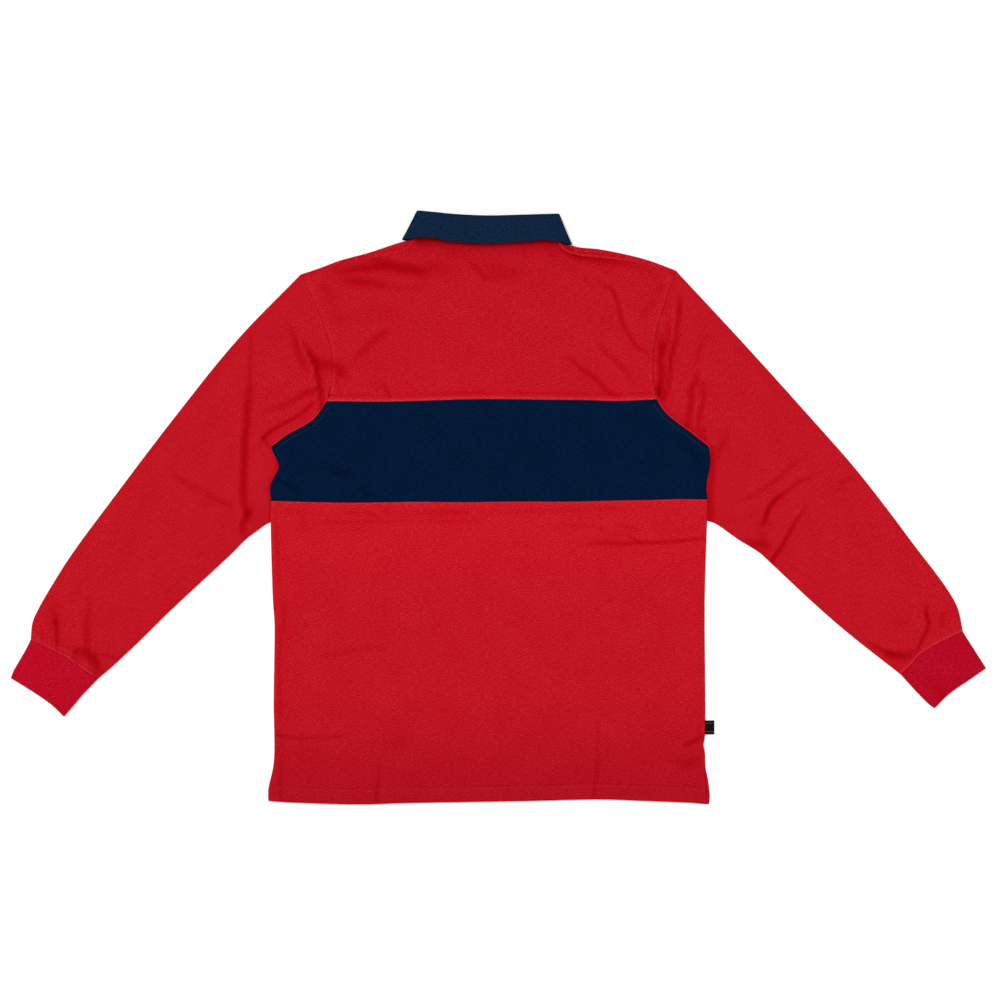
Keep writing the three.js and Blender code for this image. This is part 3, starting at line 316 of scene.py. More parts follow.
CREASES_RIGHT = [
    # drawn together at the underarm
    ([(219, 266, 0.4), (217, 254, 0.7), (221, 249, 0.4)], 2.8, -0.5),
    ([(222, 242, 0.5), (221, 226, 1), (221, 216, 0.8)], 2.8, -1.2),
    ([(208, 222, 0.5), (213, 215, 1), (215, 204, 0.9)], 5.6, -1.1),
    ([(213, 209, 0.8), (211.5, 192, 1.1), (213, 176, 1.2), (211.5, 162, 1.3), (210, 150, 1.3), (212, 143, 0.8)],
     3.5, -1.8),
    ([(209, 155, 1), (209.5, 149, 1.4)], 2.2, -1.6),
    ([(230, 272, 0.3), (229, 252, 0.8), (227, 232, 0.9), (222.5, 213, 1), (219, 195, 1.1), (218, 178, 1.1),
      (217, 160, 1.1), (214, 146, 1)], 2.2, 0.9),
    ([(236, 274, 0.4), (235.5, 262, 1), (235, 248, 1.1), (232.5, 234, 1), (231.5, 221, 1), (228, 207, 1.1),
      (224.5, 193, 1.1), (223, 178, 1), (221.5, 163, 1), (218.5, 150, 1), (215, 141, 0.8)], 2.6, -1.5),
    ([(267, 221, 0.4), (263, 210, 1), (260, 200, 0.9), (257, 187, 0.5)], 3, -0.75),
    ([(259, 176, 0.3), (257, 164, 0.9), (251, 153, 1.2), (251, 139, 1.1), (249, 124, 1.1), (246, 106, 1)],
     3.2, -1.35),
    ([(266, 165, 0.3), (266, 150, 0.9), (267, 142, 1), (263.5, 126, 1), (261, 112, 0.9), (259, 102, 0.8)],
     2.6, -1.15),
    ([(258, 150, 0.4), (257, 130, 1), (254, 112, 0.7)], 3, 0.35),
    ([(268, 104, 0.4), (265, 96, 1.1), (268, 90, 0.8)], 3.6, -0.9),
    ([(298, 101, 0.3), (295, 88, 0.9), (289, 76, 1), (284, 66, 0.8)], 4, -0.8),
    ([(278, 76, 1), (279, 50, 1), (277, 20, 1), (277, -12, 1)], 3.4, -1.1),
    # at the elbow
    ([(309, 7, 0.3), (322, 12, 0.9), (335, 18, 1), (346, 25, 1), (357, 32, 1), (367, 40, 0.9), (375, 47, 0.9),
      (383, 55, 0.9), (392, 63, 0.5), (402, 67, 0.2)], 2.8, -0.65),
    ([(300, -18, 0.2), (320, -13, 0.8), (341, -5, 0.3)], 2.4, -0.3),
    ([(345, -21, 0.5), (347.5, -14, 1.1), (350, -6, 1.2), (354, 2, 1.2), (360, 9.5, 1.1), (368, 16, 0.9),
      (376, 22, 0.4)], 2.7, -1.7),
    ([(376, 21, 0.4), (385, 29, 1), (394, 35, 1), (404, 38.5, 0.7), (414, 40, 0.2)], 2.8, -0.85),
    ([(336, -19, 0.4), (345, -21, 1), (354, -21, 0.6)], 2.4, -0.7),
    ([(380, 36, 0.3), (395, 45, 1), (412, 52, 0.4)], 2.4, 0.4),
    ([(353, -73, 0.9), (358, -66, 1.2), (364, -57, 1.2), (371, -46, 1.1), (377.5, -35, 1.1), (384, -24, 1),
      (390, -13.5, 0.8), (396, -5, 0.6), (404, 3, 0.2)], 2.5, -1.4),
    ([(374, -18, 0.3), (385, -8, 1), (395, -1, 0.5)], 2.4, 0.35),
    ([(324, -43, 0.5), (333, -47, 1.1), (344, -48, 1.1), (352, -51, 0.6)], 4.4, -1.3),
    ([(339, -28, 0.3), (343, -38, 1)], 4.4, -0.6),
    ([(438, 23, 0.3), (449, 33, 1), (459, 41, 0.8), (466, 47, 0.3)], 3.6, -0.45),
    # gathered above the cuff
    ([(557, -126, 0.4), (556.5, -138, 1.1), (559, -148, 1.2), (558.5, -157, 1.1), (554, -166, 1.1),
      (550, -174, 1.1), (547.5, -181, 1), (541, -188, 1), (536, -185, 0.4)], 2.5, -1.7),
    ([(588, -135, 0.2), (579, -139, 0.7), (577, -148, 1.1), (576.5, -158, 0.5)], 2.6, -0.8),
    ([(508, -149, 0.4), (518, -149, 1.1), (540, -151, 0.2)], 2.6, -0.45),
    ([(480, -174, 0.5), (492, -181, 0.9), (503, -187, 1), (513, -191.5, 1)], 2.3, -1.2),
    ([(508, -190, 0.8), (522, -193, 1.2), (535, -194, 1)], 4.4, -2.0),
    ([(528, -204, 0.5), (520, -210, 0.5)], 3, -0.4),
]
CREASES_CUFFS = [
    ([(538, -222, 0.6), (553, -238, 1), (568, -253, 0.8)], 4, 0.45),
    ([(566, -232, 0.4), (577, -243, 1), (582, -248, 0.8)], 6, -0.7),
    ([(-577, -250, 0.4), (-570, -260, 1)], 6, -0.35),
]
CREASES_UNDER = [
    # the same kind on the side that lies down, where the cloth stands a little off the floor
    ([(-190, 280, 0.3), (-120, 262, 1), (-60, 232, 0.7), (-40, 200, 0.2)], 7, 0.7),
    ([(170, 290, 0.3), (120, 268, 1), (62, 240, 0.5)], 6, 0.6),
    ([(-205, 170, 0.3), (-150, 190, 1), (-90, 196, 0.3)], 5, 0.5),
    ([(196, 160, 0.4), (150, 186, 1), (100, 190, 0.3)], 6, 0.55),
    ([(-265, 70, 0.3), (-210, 84, 1), (-160, 80, 0.3)], 5, 0.45),
    ([(250, 60, 0.3), (200, 66, 1), (140, 88, 0.3)], 5, 0.5),
    ([(-280, -40, 0.3), (-200, -62, 1), (-120, -60, 0.4)], 6, 0.6),
    ([(255, -70, 0.3), (180, -92, 1), (90, -90, 0.3)], 5, 0.5),
    ([(-120, -150, 0.3), (-60, -190, 1), (-50, -260, 0.3)], 7, 0.6),
    ([(120, -210, 0.3), (150, -280, 1), (140, -350, 0.5)], 5, 0.55),
    ([(-270, -300, 0.4), (-200, -286, 1), (-140, -300, 0.3)], 4, 0.45),
    ([(-300, 120, 0.3), (-340, 60, 1), (-350, 0, 0.4)], 6, 0.7),
    ([(-420, -60, 0.3), (-470, -90, 1), (-520, -150, 0.4)], 5, 0.6),
    ([(290, 130, 0.3), (330, 50, 1), (360, -20, 0.5)], 6, 0.7),
    ([(420, -60, 0.3), (470, -80, 1), (540, -120, 0.3)], 5, 0.6),
]

# Helpers for plans


def blend(low, high, share):
    return low + (high - low) * share


def smooth(share):
    share = np.clip(share, 0, 1)
    return share * share * (3 - 2 * share)


def away(first, second):
    return np.linalg.norm(np.asarray(first, float) - np.asarray(second, float), axis=-1)


def unit(first, second):
    step = np.asarray(second, float) - np.asarray(first, float)
    return step / np.linalg.norm(step)


def spline(rows, per_span=24):
    """Points of a centripetal spline through the rows."""
    rows = np.asarray(rows, float)
    padded = np.vstack([2 * rows[0] - rows[1], rows, 2 * rows[-1] - rows[-2]])
    out = []
    share = np.linspace(0, 1, per_span, endpoint=False)[:, None]
    for index in range(1, len(padded) - 2):
        before, start, end, after = padded[index - 1:index + 3]
        d0, d1, d2 = (max(math.sqrt(away(a, b)), 1e-4) for a, b in ((before, start), (start, end), (end, after)))
        t1 = ((start - before) / d0 - (end - before) / (d0 + d1) + (end - start) / d1) * d1
        t2 = ((end - start) / d1 - (after - start) / (d1 + d2) + (after - end) / d2) * d1
        c2 = -3 * start + 3 * end - 2 * t1 - t2
        c3 = 2 * start - 2 * end + t1 + t2
        out.append(start + t1 * share + c2 * share ** 2 + c3 * share ** 3)
    return np.vstack(out + [padded[-2][None]])


class Edge:
    """A line in plan, called with shares of its length."""

    def __init__(self, rows, curved=True):
        self.points = spline(rows) if curved else np.asarray(rows, float)
        steps = away(self.points[1:], self.points[:-1])
        self.ends = np.concatenate([[0], np.cumsum(steps)])
        self.length = self.ends[-1]

    def __call__(self, share):
        place = np.clip(np.asarray(share, float), 0, 1) * self.length
        axes = [np.interp(place, self.ends, self.points[:, axis]) for axis in (0, 1)]
        return np.stack(axes, axis=-1)


def chain(edges, bounds):
    def at(share):
        share = np.asarray(share, float)
        out = edges[0]((share - bounds[0]) / (bounds[1] - bounds[0]))
        for edge, low, high in zip(edges[1:], bounds[1:], bounds[2:]):
            out = np.where((share > low)[..., None], edge((share - low) / (high - low)), out)
        return out
    return at


def patch(start, end, first, last):
    def at(u, v):
        u, v = np.broadcast_arrays(np.asarray(u, float), np.asarray(v, float))
        between = blend(start(u), end(u), v[..., None])
        across = blend(first(v), last(v), u[..., None])
        low = blend(start(0.0), start(1.0), u[..., None])
        high = blend(end(0.0), end(1.0), u[..., None])
        return between + across - blend(low, high, v[..., None])
    return at


def shares(length, step=STEP):
    """Shares along a length, at an even step and closer beside both ends."""
    *close, inner = EDGE_ROWS
    count = max(int(round((length - 2 * inner) / step)), 1)
    middle = np.linspace(inner, length - inner, count + 1)
    low = np.array(close)
    return np.concatenate([low, middle, length - low[::-1]]) / length


# Heights of the cloth


def strip_share(row, fall, x, y):
    x0, y0, x1, y1, radius = row[:5]
    along = ((x - x0) * (x1 - x0) + (y - y0) * (y1 - y0)) / ((x1 - x0) ** 2 + (y1 - y0) ** 2)
    along = np.clip(along, 0, 1)
    gap = np.hypot(x - blend(x0, x1, along), y - blend(y0, y1, along))
    return 1 - smooth((gap - radius) / fall)


def lift_at(x, y):
    return np.max([row[5] * strip_share(row, LIFT_FALL, x, y) for row in LIFTS], axis=0)


CREASE_SIDE = 0.25  # height of the soft banks beside a crease
CREASE_BANK = 2.1  # where these banks are, in the crease's half width
CREASE_DEPTH = 0.85  # turns the tables' heights into millimetres
CREASE_CORE = 1.25  # half width of the painted darker core, in the crease's half width
CREASE_PAINTED_SHADING = 0.12  # painted shade: how much darker the cloth is painted in a trough a millimetre deep; a ridge gets half as much painted highlight
CREASE_REACH = 4  # how far from its line a crease is felt, in its half width
CREASE_STEPS = 6  # straight steps between two of its places


def crease_at(x, y, rows):
    """Height of the creases at each place, and the painted shade in their troughs and painted highlight on their
    ridges that go with them.
    """
    height = np.zeros_like(x)
    tone = np.zeros_like(x)
    for places, wide, high in rows:
        line = spline(places, CREASE_STEPS)
        low = line.min(axis=0) - CREASE_REACH * wide
        top = line.max(axis=0) + CREASE_REACH * wide
        near = (x > low[0]) & (x < top[0]) & (y > low[1]) & (y < top[1])
        if not near.any():
            continue
        point = np.stack([x[near], y[near]], axis=-1)
        best = np.full(len(point), 1e9)
        strength = np.zeros(len(point))
        for a, b in zip(line[:-1], line[1:]):
            step = (b - a)[:2]
            share = np.clip(((point - a[:2]) @ step) / max(step @ step, 1e-9), 0, 1)
            gap = away(point, a[:2] + share[:, None] * step)
            closer = gap < best
            best = np.where(closer, gap, best)
            strength = np.where(closer, blend(a[2], b[2], share), strength)
        profile = np.exp(-(best / wide) ** 2)
        banks = CREASE_SIDE * np.exp(-((best - CREASE_BANK * wide) / wide) ** 2)
        height[near] += CREASE_DEPTH * high * strength * (profile - banks)
        core = np.exp(-(best / (CREASE_CORE * wide)) ** 2)
        tone[near] += (CREASE_PAINTED_SHADING if high < 0 else CREASE_PAINTED_SHADING / 2) * high * strength * core
    return height, tone


RIPPLE_HIGH = 0.7
BACK_SEED = 3
NOISE_SQUARES = 64
NOISE_START = 1000  # keeps the places positive


def noise_field(x, y, size, seed):
    """Smooth seeded noise between -1 and 1, with one value for each square of the given size."""
    values = np.random.default_rng(seed).uniform(-1, 1, (NOISE_SQUARES, NOISE_SQUARES))
    px, py = x / size + NOISE_START, y / size + NOISE_START
    ix, iy = np.floor(px).astype(int), np.floor(py).astype(int)
    fx, fy = smooth(px - ix), smooth(py - iy)
    corner = [[values[(ix + i) % NOISE_SQUARES, (iy + j) % NOISE_SQUARES] for j in (0, 1)] for i in (0, 1)]
    return blend(blend(corner[0][0], corner[0][1], fy), blend(corner[1][0], corner[1][1], fy), fx)


def ripple(x, y, seed):
    """The slight unevenness of cloth that was washed or folded and laid flat: height, stretch in y and size."""
    return sum(high * noise_field(x, y * stretch, size, seed + index)
               for index, (high, stretch, size) in enumerate([(0.34, 1, 60), (0.16, 0.8, 26), (0.06, 1, 11)]))


def back_middle(x, y):
    loose = BACK_REST + BACK_RISE * strip_share(BACK_DOME, BACK_DOME_FALL, x, y)
    middle = blend(loose, NECK_MIDDLE, strip_share(NECK_RISE, NECK_RISE_FALL, x, y))
    return np.maximum(middle, lift_at(x, y) + 2 * CLOTH + LAYER_GAP)


def bump(distance, place, wide):
    return np.exp(-((distance - place) / wide) ** 2)


def drop(distance, wide):
    """One at an edge, falling to nothing as a quarter circle does."""
    inside = np.clip(1 - distance / wide, 0, 1)
    return 1 - np.sqrt(np.clip(1 - inside ** 2, 0, 1))


# Plan of the body

edge = {name: Edge(rows) for name, rows in EDGE.items()}
neck_bounds = [0, SHOULDER_STRETCH_LEFT, SHOULDER_STRETCH_RIGHT, 1]
seam_left = Edge([tuple(edge["armhole_left"](TIP_WRAP))] + EDGE["seam_left"])
seam_right = Edge(EDGE["seam_right"] + [tuple(edge["armhole_right"](TIP_WRAP))])
band_left = chain([edge["band_end_left"], edge["band_side_left"]], [0, 0.5, 1])
band_right = chain([edge["band_end_right"], edge["band_side_right"]], [0, 0.5, 1])


def armhole_from(name, first):
    return lambda v: edge[name](blend(first, 1, np.asarray(v, float)))


upper_back = patch(
    chain([seam_left, edge["neck_back"], seam_right], neck_bounds),
    edge["band_top"],
    armhole_from("armhole_left", TIP_WRAP),
    armhole_from("armhole_right", TIP_WRAP),
)
band_plan = patch(edge["band_top"], edge["band_bottom"], band_left, band_right)
lower_back = patch(edge["band_bottom"], edge["hem_back"], edge["side_left"], edge["side_right_back"])
lower_front = patch(edge["band_bottom"], edge["hem_front"], edge["side_left"], edge["side_right_front"])

# Materials


def node(tree, kind, **inputs):
    item = tree.nodes.new(kind)
    for name, value in inputs.items():
        item.inputs[name.replace("_", " ")].default_value = value
    return item


def math_node(tree, operation, first, second=None):
    item = tree.nodes.new("ShaderNodeMath")
    item.operation = operation
    for socket, value in zip(item.inputs, (first, second)):
        if value is None:
            continue
        if isinstance(value, (int, float)):
            socket.default_value = value
        else:
            tree.links.new(value, socket)
    return item.outputs[0]


def cloth_material(name, colour, wale, course, knit_depth, grain, noise, deepen=(1, 1, 1), specular=0.02,
                   roughness=0.92, twill=False):
    """Cloth with its knit or weave as bump and with fine grain. The tone of a mesh's points, which holds painted light
    and shade, and the grain make it lighter or darker, and deepen gives the powers with which red, green and blue
    follow that tone. Their shade, which is painted shade as well, makes it darker with less change of hue."""
    material = bpy.data.materials.new(name)
    material.use_nodes = True
    tree = material.node_tree
    link = tree.links.new

    def calc(operation, first, second=None):
        return math_node(tree, operation, first, second)

    shader = tree.nodes["Principled BSDF"]
    shader.inputs["Roughness"].default_value = roughness
    shader.inputs["Specular IOR Level"].default_value = specular
    grain_uv = tree.nodes.new("ShaderNodeUVMap")
    grain_uv.uv_map = "grain"
    split = tree.nodes.new("ShaderNodeSeparateXYZ")
    link(grain_uv.outputs[0], split.inputs[0])
    across = calc("DIVIDE", split.outputs[0], wale * MM)
    along = calc("DIVIDE", split.outputs[1], course * MM)
    if twill:  # slanted ribs and the threads that cross them
        line = calc("ADD", across, along)
        wave = calc("SINE", calc("MULTIPLY", line, 2 * math.pi))
        cross = calc("SINE", calc("MULTIPLY", along, 4 * math.pi))
        height = calc("ADD", wave, calc("MULTIPLY", cross, 0.35))
    else:  # rows of loops, with a valley between two wales
        half = calc("ABSOLUTE", calc("SUBTRACT", calc("FRACT", across), 0.5))
        phase = calc("ADD", along, half)
        loop = calc("SINE", calc("MULTIPLY", phase, 2 * math.pi))
        valley = calc("MULTIPLY", calc("POWER", calc("MULTIPLY", half, 2), 3), -1.6)
        height = calc("ADD", calc("MULTIPLY", loop, 0.5), valley)
    stretch = tree.nodes.new("ShaderNodeVectorMath")
    stretch.operation = "MULTIPLY"
    stretch.inputs[1].default_value = (SLUB_STRETCH, 1, 1)
    link(grain_uv.outputs[0], stretch.inputs[0])
    fine = node(tree, "ShaderNodeTexNoise", Scale=1 / (grain * MM), Detail=1.5, Roughness=0.7)
    slub = node(tree, "ShaderNodeTexNoise", Scale=1 / (1.15 * grain * MM), Detail=2.0, Roughness=0.6)
    slow = node(tree, "ShaderNodeTexNoise", Scale=1 / (45 * MM), Detail=2.0, Roughness=0.55)
    link(grain_uv.outputs[0], fine.inputs["Vector"])
    link(stretch.outputs[0], slub.inputs["Vector"])
    link(grain_uv.outputs[0], slow.inputs["Vector"])
    total = None
    for texture, share in ((fine, FINE_SHARE), (slub, SLUB_TONE), (slow, SLOW_SHARE)):
        part = calc("MULTIPLY", calc("SUBTRACT", texture.outputs[0], 0.5), share * noise)
        total = part if total is None else calc("ADD", total, part)
    tone = tree.nodes.new("ShaderNodeAttribute")
    tone.attribute_name = "tone"
    parts = tree.nodes.new("ShaderNodeSeparateXYZ")
    link(tone.outputs["Vector"], parts.inputs[0])
    total = calc("MAXIMUM", calc("ADD", total, parts.outputs[0]), 0.1)
    joined = tree.nodes.new("ShaderNodeCombineColor")
    for socket, level, power, fall in zip(joined.inputs, colour, deepen, SHADE_POWERS):
        channel = total if power == 1 else calc("POWER", total, power)
        shade = calc("POWER", parts.outputs[1], fall)
        link(calc("MULTIPLY", calc("MULTIPLY", channel, shade), level), socket)
    link(joined.outputs[0], shader.inputs["Base Color"])
    knit = node(tree, "ShaderNodeBump", Strength=KNIT_STRENGTH, Distance=knit_depth * MM)
    link(height, knit.inputs["Height"])
    pile = node(tree, "ShaderNodeBump", Strength=PILE_STRENGTH, Distance=PILE_DEPTH * MM)
    link(fine.outputs[0], pile.inputs["Height"])
    link(knit.outputs[0], pile.inputs["Normal"])
    link(pile.outputs[0], shader.inputs["Normal"])
    return material


SHADE_POWERS = (1, 1.8, 0.6)  # with which red, green and blue follow the painted shade
SLUB_STRETCH = 0.22  # the slub is drawn out along the courses
FINE_SHARE, SLUB_TONE, SLOW_SHARE = 5.4, 1.7, 0.4  # how much of the grain is in each size of noise
KNIT_STRENGTH = 0.6
PILE_STRENGTH = 0.38
PILE_DEPTH = 0.22
RED = (0.412, 0.0039, 0.0108)
RIB_RED = (0.378, 0.0015, 0.0118)
NAVY = (0.0006, 0.0069, 0.027)
TWILL_NAVY = (0.0034, 0.0137, 0.0368)
RED_DEEPEN = (1, 9, 5.5)  # painted shade in folds looks deeper red, and painted highlights on the seams' lips look paler

# name, colour, widths of a wale and a course, depth of the knit, size and strength of the grain, and what else differs
SWATCHES = [
    ("red_jersey", RED, 1.25, 0.95, 0.10, 1.1, 0.225, {"deepen": RED_DEEPEN}),
    ("navy_jersey", NAVY, 1.25, 0.95, 0.10, 1.3, 0.65, {"deepen": (1, 1.3, 1)}),
    ("red_rib", RIB_RED, 1.0, 0.9, 0.08, 1.1, 0.28, {"deepen": RED_DEEPEN}),
    ("navy_twill", TWILL_NAVY, 1.3, 1.3, 0.08, 1.3, 0.75, {"specular": 0.03, "twill": True}),
    ("red_thread", (0.44, 0.0075, 0.0145), 0.5, 0.5, 0.05, 1.0, 0.03, {"deepen": RED_DEEPEN}),
    ("faded_thread", (0.06, 0.026, 0.036), 0.5, 0.5, 0.05, 1.0, 0.1, {}),
    ("tab_cloth", (0.0045, 0.0045, 0.006), 0.5, 0.5, 0.05, 1.0, 0.1, {"twill": True}),
    ("tab_stripe", (0.16, 0.025, 0.008), 0.5, 0.5, 0.05, 1.0, 0.1, {}),
    ("dark_rubber", (0.008, 0.01, 0.018), 4, 4, 0.02, 3.0, 0.05, {"specular": 0.4, "roughness": 0.45}),
]
(red_jersey, navy_jersey, red_rib, navy_twill, red_thread, faded_thread, tab_cloth, tab_stripe,
 rubber) = [cloth_material(*row[:-1], **row[-1]) for row in SWATCHES]

# Meshes

TONE_RANGE = (0.3, 1.4)


def finish_piece(name, mesh, material, replaces=()):
    piece = bpy.data.objects.new(name, mesh)
    bpy.context.scene.collection.objects.link(piece)
    mesh.materials.append(material)
    mesh.polygons.foreach_set("use_smooth", [True] * len(mesh.polygons))
    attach(piece, "root")
    if replaces:
        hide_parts(*replaces)
    return piece


def grid_faces(rows, columns, closed=False):
    row, column = np.meshgrid(np.arange(rows - 1), np.arange(columns if closed else columns - 1), indexing="ij")
    following = (column + 1) % columns
    here = row * columns
    faces = np.stack([here + columns + column, here + columns + following, here + following, here + column], axis=-1)
    return faces.reshape(-1, 4)


def build_mesh(name, points, faces, grain, tone=None):
    """points in millimetres, one row each, grain the place of each point along the cloth's wales and courses, and
    tone the painted light and shade of each point: 1 is plain, and its imaginary part is added to the painted shade."""
    mesh = bpy.data.meshes.new(name)
    mesh.vertices.add(len(points))
    mesh.vertices.foreach_set("co", (np.asarray(points) * MM).astype(np.float32).ravel())
    faces = np.asarray(faces, np.int32)
    mesh.loops.add(faces.size)
    mesh.loops.foreach_set("vertex_index", faces.ravel())
    mesh.polygons.add(len(faces))
    mesh.polygons.foreach_set("loop_start", np.arange(0, faces.size, faces.shape[1], dtype=np.int32))
    layer = mesh.uv_layers.new(name="grain")
    layer.data.foreach_set("uv", (np.asarray(grain)[faces.ravel()] * MM).astype(np.float32).ravel())
    values = np.ones((len(points), 3))
    if tone is not None:
        tone = np.asarray(tone)
        values[:, 0] = np.clip(tone.real.ravel(), *TONE_RANGE)
        values[:, 1] = 1 + tone.imag.ravel()
    mesh.attributes.new("tone", "FLOAT_VECTOR", "POINT").data.foreach_set("vector", values.astype(np.float32).ravel())
    mesh.update(calc_edges=True)
    mesh.validate()
    return mesh


def thicken(piece, thickness):
    """Gives a shell its thickness, half on each side, and makes it part of the mesh."""
    modifier = piece.modifiers.new("thickness", "SOLIDIFY")
    modifier.thickness = thickness * MM
    modifier.offset = 0
    bpy.context.view_layer.objects.active = piece
    with bpy.context.temp_override(object=piece, active_object=piece, selected_objects=[piece]):
        bpy.ops.object.modifier_apply(modifier=modifier.name)


def side_distances(points):
    """Distances of a grid's points from its upper, lower, left and right edge."""
    plan = points[..., :2]
    return (away(plan, plan[:1]), away(plan, plan[-1:]), away(plan, plan[:, :1]), away(plan, plan[:, -1:]))


def panel(name, place, rows, columns, height_at, material):
    u, v = np.meshgrid(columns, rows)
    plan = place(u, v)
    z, tone = height_at(plan[..., 0], plan[..., 1], side_distances(plan), u, v)
    points = np.concatenate([plan, z[..., None]], axis=-1)
    mesh = build_mesh(name, points.reshape(-1, 3), grid_faces(*points.shape[:2]), plan.reshape(-1, 2), tone)
    piece = finish_piece(name, mesh, material, [name])
    thicken(piece, SHELL)
    return piece


def plan_area(place):
    """Flat area in square metres of a patch, from the outline that its edges make."""
    share = np.linspace(0, 1, 200)
    ring = np.concatenate([place(share, 0.0), place(1.0, share), place(share[::-1], 1.0), place(0.0, share[::-1])])
    x, y = ring[:, 0], ring[:, 1]
    return abs(np.sum(x * np.roll(y, -1) - y * np.roll(x, -1))) / 2 * MM * MM


# Stitches

STITCH_LINE_POINTS = 80
THREAD_SINK = 0.05
THREAD_SIDES = 6
# Places along half a thread's length, where 1 is its end, and the thread's share of its full radius there
THREAD_ENDS = [(-1, 0.15), (-0.8, 0.62), (-0.35, 1), (0.35, 1), (0.8, 0.62), (1, 0.15)]
THREAD_ARCH = 0.3  # how far a thread's ends dip into the cloth, in its radius


def stitch_line(name, line, z_at, material, radius, pitch=3.2, length=2.3):
    """Short rounded threads along a line in plan, each lying on the cloth."""
    count = max(int(line.length / pitch), 2)
    centre = (np.arange(count) + 0.5) / count
    half = length / 2 / line.length
    ring = np.arange(THREAD_SIDES) / THREAD_SIDES * 2 * math.pi
    here, there = line(centre - half), line(centre + half)
    middle = (here + there) / 2
    direction = there - here
    direction /= np.linalg.norm(direction, axis=1)[:, None]
    side = np.stack([-direction[:, 1], direction[:, 0]], axis=1)
    z = z_at(middle[:, 0], middle[:, 1]) - THREAD_SINK
    points = []
    for end, size in THREAD_ENDS:
        arch = -THREAD_ARCH * radius * end ** 2
        plan = (middle + direction * end * length / 2)[:, None, :] + side[:, None, :] * (
            np.cos(ring) * radius * size)[None, :, None]
        lift = np.broadcast_to((z[:, None] + arch + np.sin(ring)[None, :] * radius * size), plan.shape[:2])
        points.append(np.concatenate([plan, lift[..., None]], axis=-1))
    stacked = np.stack(points, axis=1)
    each = len(THREAD_ENDS) * THREAD_SIDES
    cap = np.array([[0, 1, 2, 3], [0, 3, 4, 5]])
    caps = np.concatenate([cap, (cap + each - THREAD_SIDES)[:, ::-1]])
    offsets = np.arange(count)[:, None, None] * each
    quads = np.concatenate([(faces[None] + offsets).reshape(-1, 4)
                            for faces in (grid_faces(len(THREAD_ENDS), THREAD_SIDES, closed=True), caps)])
    flat = stacked.reshape(-1, 3)
    mesh = build_mesh(name, flat, quads, flat[:, :2])
    return finish_piece(name, mesh, material)


def to_left(points):
    """Unit steps to the left of a line in plan, one for each of its points."""
    tangent = np.gradient(points, axis=0)
    tangent /= np.linalg.norm(tangent, axis=1)[:, None]
    return np.stack([-tangent[:, 1], tangent[:, 0]], axis=1)


def offset_edge(line, distance, first, last):
    """The part of a line between two shares, moved sideways to its left."""
    points = line(np.linspace(first, last, STITCH_LINE_POINTS))
    return Edge(points + to_left(points) * distance, curved=False)


# Back panels

back_columns = shares(BODY_WIDE)
LIP_HIGH = 0.8
LIP_PLACE = 1.9
LIP_WIDE = 1.7
ALLOWANCE = 7.9  # where the seam's turned cloth ends under the red
ARMHOLE_STITCH = 7.5
BAND_STITCH = 6.2
SIDE_ROLL = 6


def back_surface(x, y):
    height, tone = crease_at(x, y, CREASES_BACK)
    z = back_middle(x, y) + height + RIPPLE_HIGH * ripple(x, y, BACK_SEED)
    return np.maximum(z, lift_at(x, y) + LEAST_REST), 1 + tone


def shoulder_seam_share(x, left_share):
    """How clearly a shoulder seam stands out: less on the left, and fading towards the armholes."""
    return np.where(x < COLLAR_CENTRE_X, left_share * smooth((x + 175) / 60), smooth((185 - x) / 65))


def upper_back_height(x, y, sides, u, v):
    top, bottom, left, right = sides
    z, tone = back_surface(x, y)
    # the lip over the band's seam, and the hollow where the turned cloth under it ends, with a painted highlight on
    # the lip and painted shade in the hollow
    uneven = 0.7 + 0.6 * noise_field(x, 0 * x, 38, 8)
    z = z + LIP_HIGH * bump(bottom, LIP_PLACE, LIP_WIDE) - 0.9 * drop(bottom, 1.0)
    z = z - 0.25 * uneven * bump(bottom, ALLOWANCE, 1.5)
    tone = tone + 0.19 * bump(bottom, 0.9, 1.5) - 0.09 * uneven * bump(bottom, ALLOWANCE, 1.9)
    # the painted shadow under the collar's leaf, and the shoulder seams beside it, with painted shade along them
    neck = (smooth((u - SHOULDER_STRETCH_LEFT + 0.02) / 0.04)
            * (1 - smooth((u - SHOULDER_STRETCH_RIGHT + 0.02) / 0.04)))
    seam = shoulder_seam_share(x, 0.35) * (1 - neck)
    z = z - 0.9 * seam * drop(top, 3)
    tone = tone - 0.16 * seam * bump(top, 1.2, 3.2) - neck * (0.2 + 0.42j) * np.exp(-np.maximum(top - 4, 0) / 6.5)
    # the soft swell beside the armholes, and their stitches pulled in, with a painted highlight on the swell and
    # painted shade at the armhole seams
    z = z + 0.25 * bump(left, 4, 3)
    z = z + 0.25 * bump(right, 4.5, 2.6) - 0.1 * drop(right, 1.0)
    for side in (left, right):
        z = z - 0.12 * bump(side, ARMHOLE_STITCH, 1.2)
    tone = tone + 0.035 * bump(left, 3.5, 3.2) - 0.05 * bump(left, 0, 0.9) + 0.03 * bump(right, 3.4, 2)
    tone = tone - 0.05 * bump(right, 0, 0.9)
    return z, tone


def band_height(x, y, sides, u, v):
    top, bottom, left, right = sides
    z, tone = back_surface(x, y)
    # the band goes under the red cloth all round, and rolls down at its open sides; its crease shading is painted four
    # times as strong, with painted shade along its seams
    z = z - 0.7 * drop(top, 3) - 0.7 * drop(bottom, 3)
    tone = 1 + 4 * (tone - 1) - 0.2 * bump(top, 0, 1.4) - 0.2 * bump(bottom, 0, 1.4)
    for side in (left, right):
        diagonal = 1 - smooth((v - 0.44) / 0.1)
        z = z - diagonal * drop(side, 3)
        z = z - (1 - diagonal) * 1.3 * drop(side, SIDE_ROLL)
    return z, tone


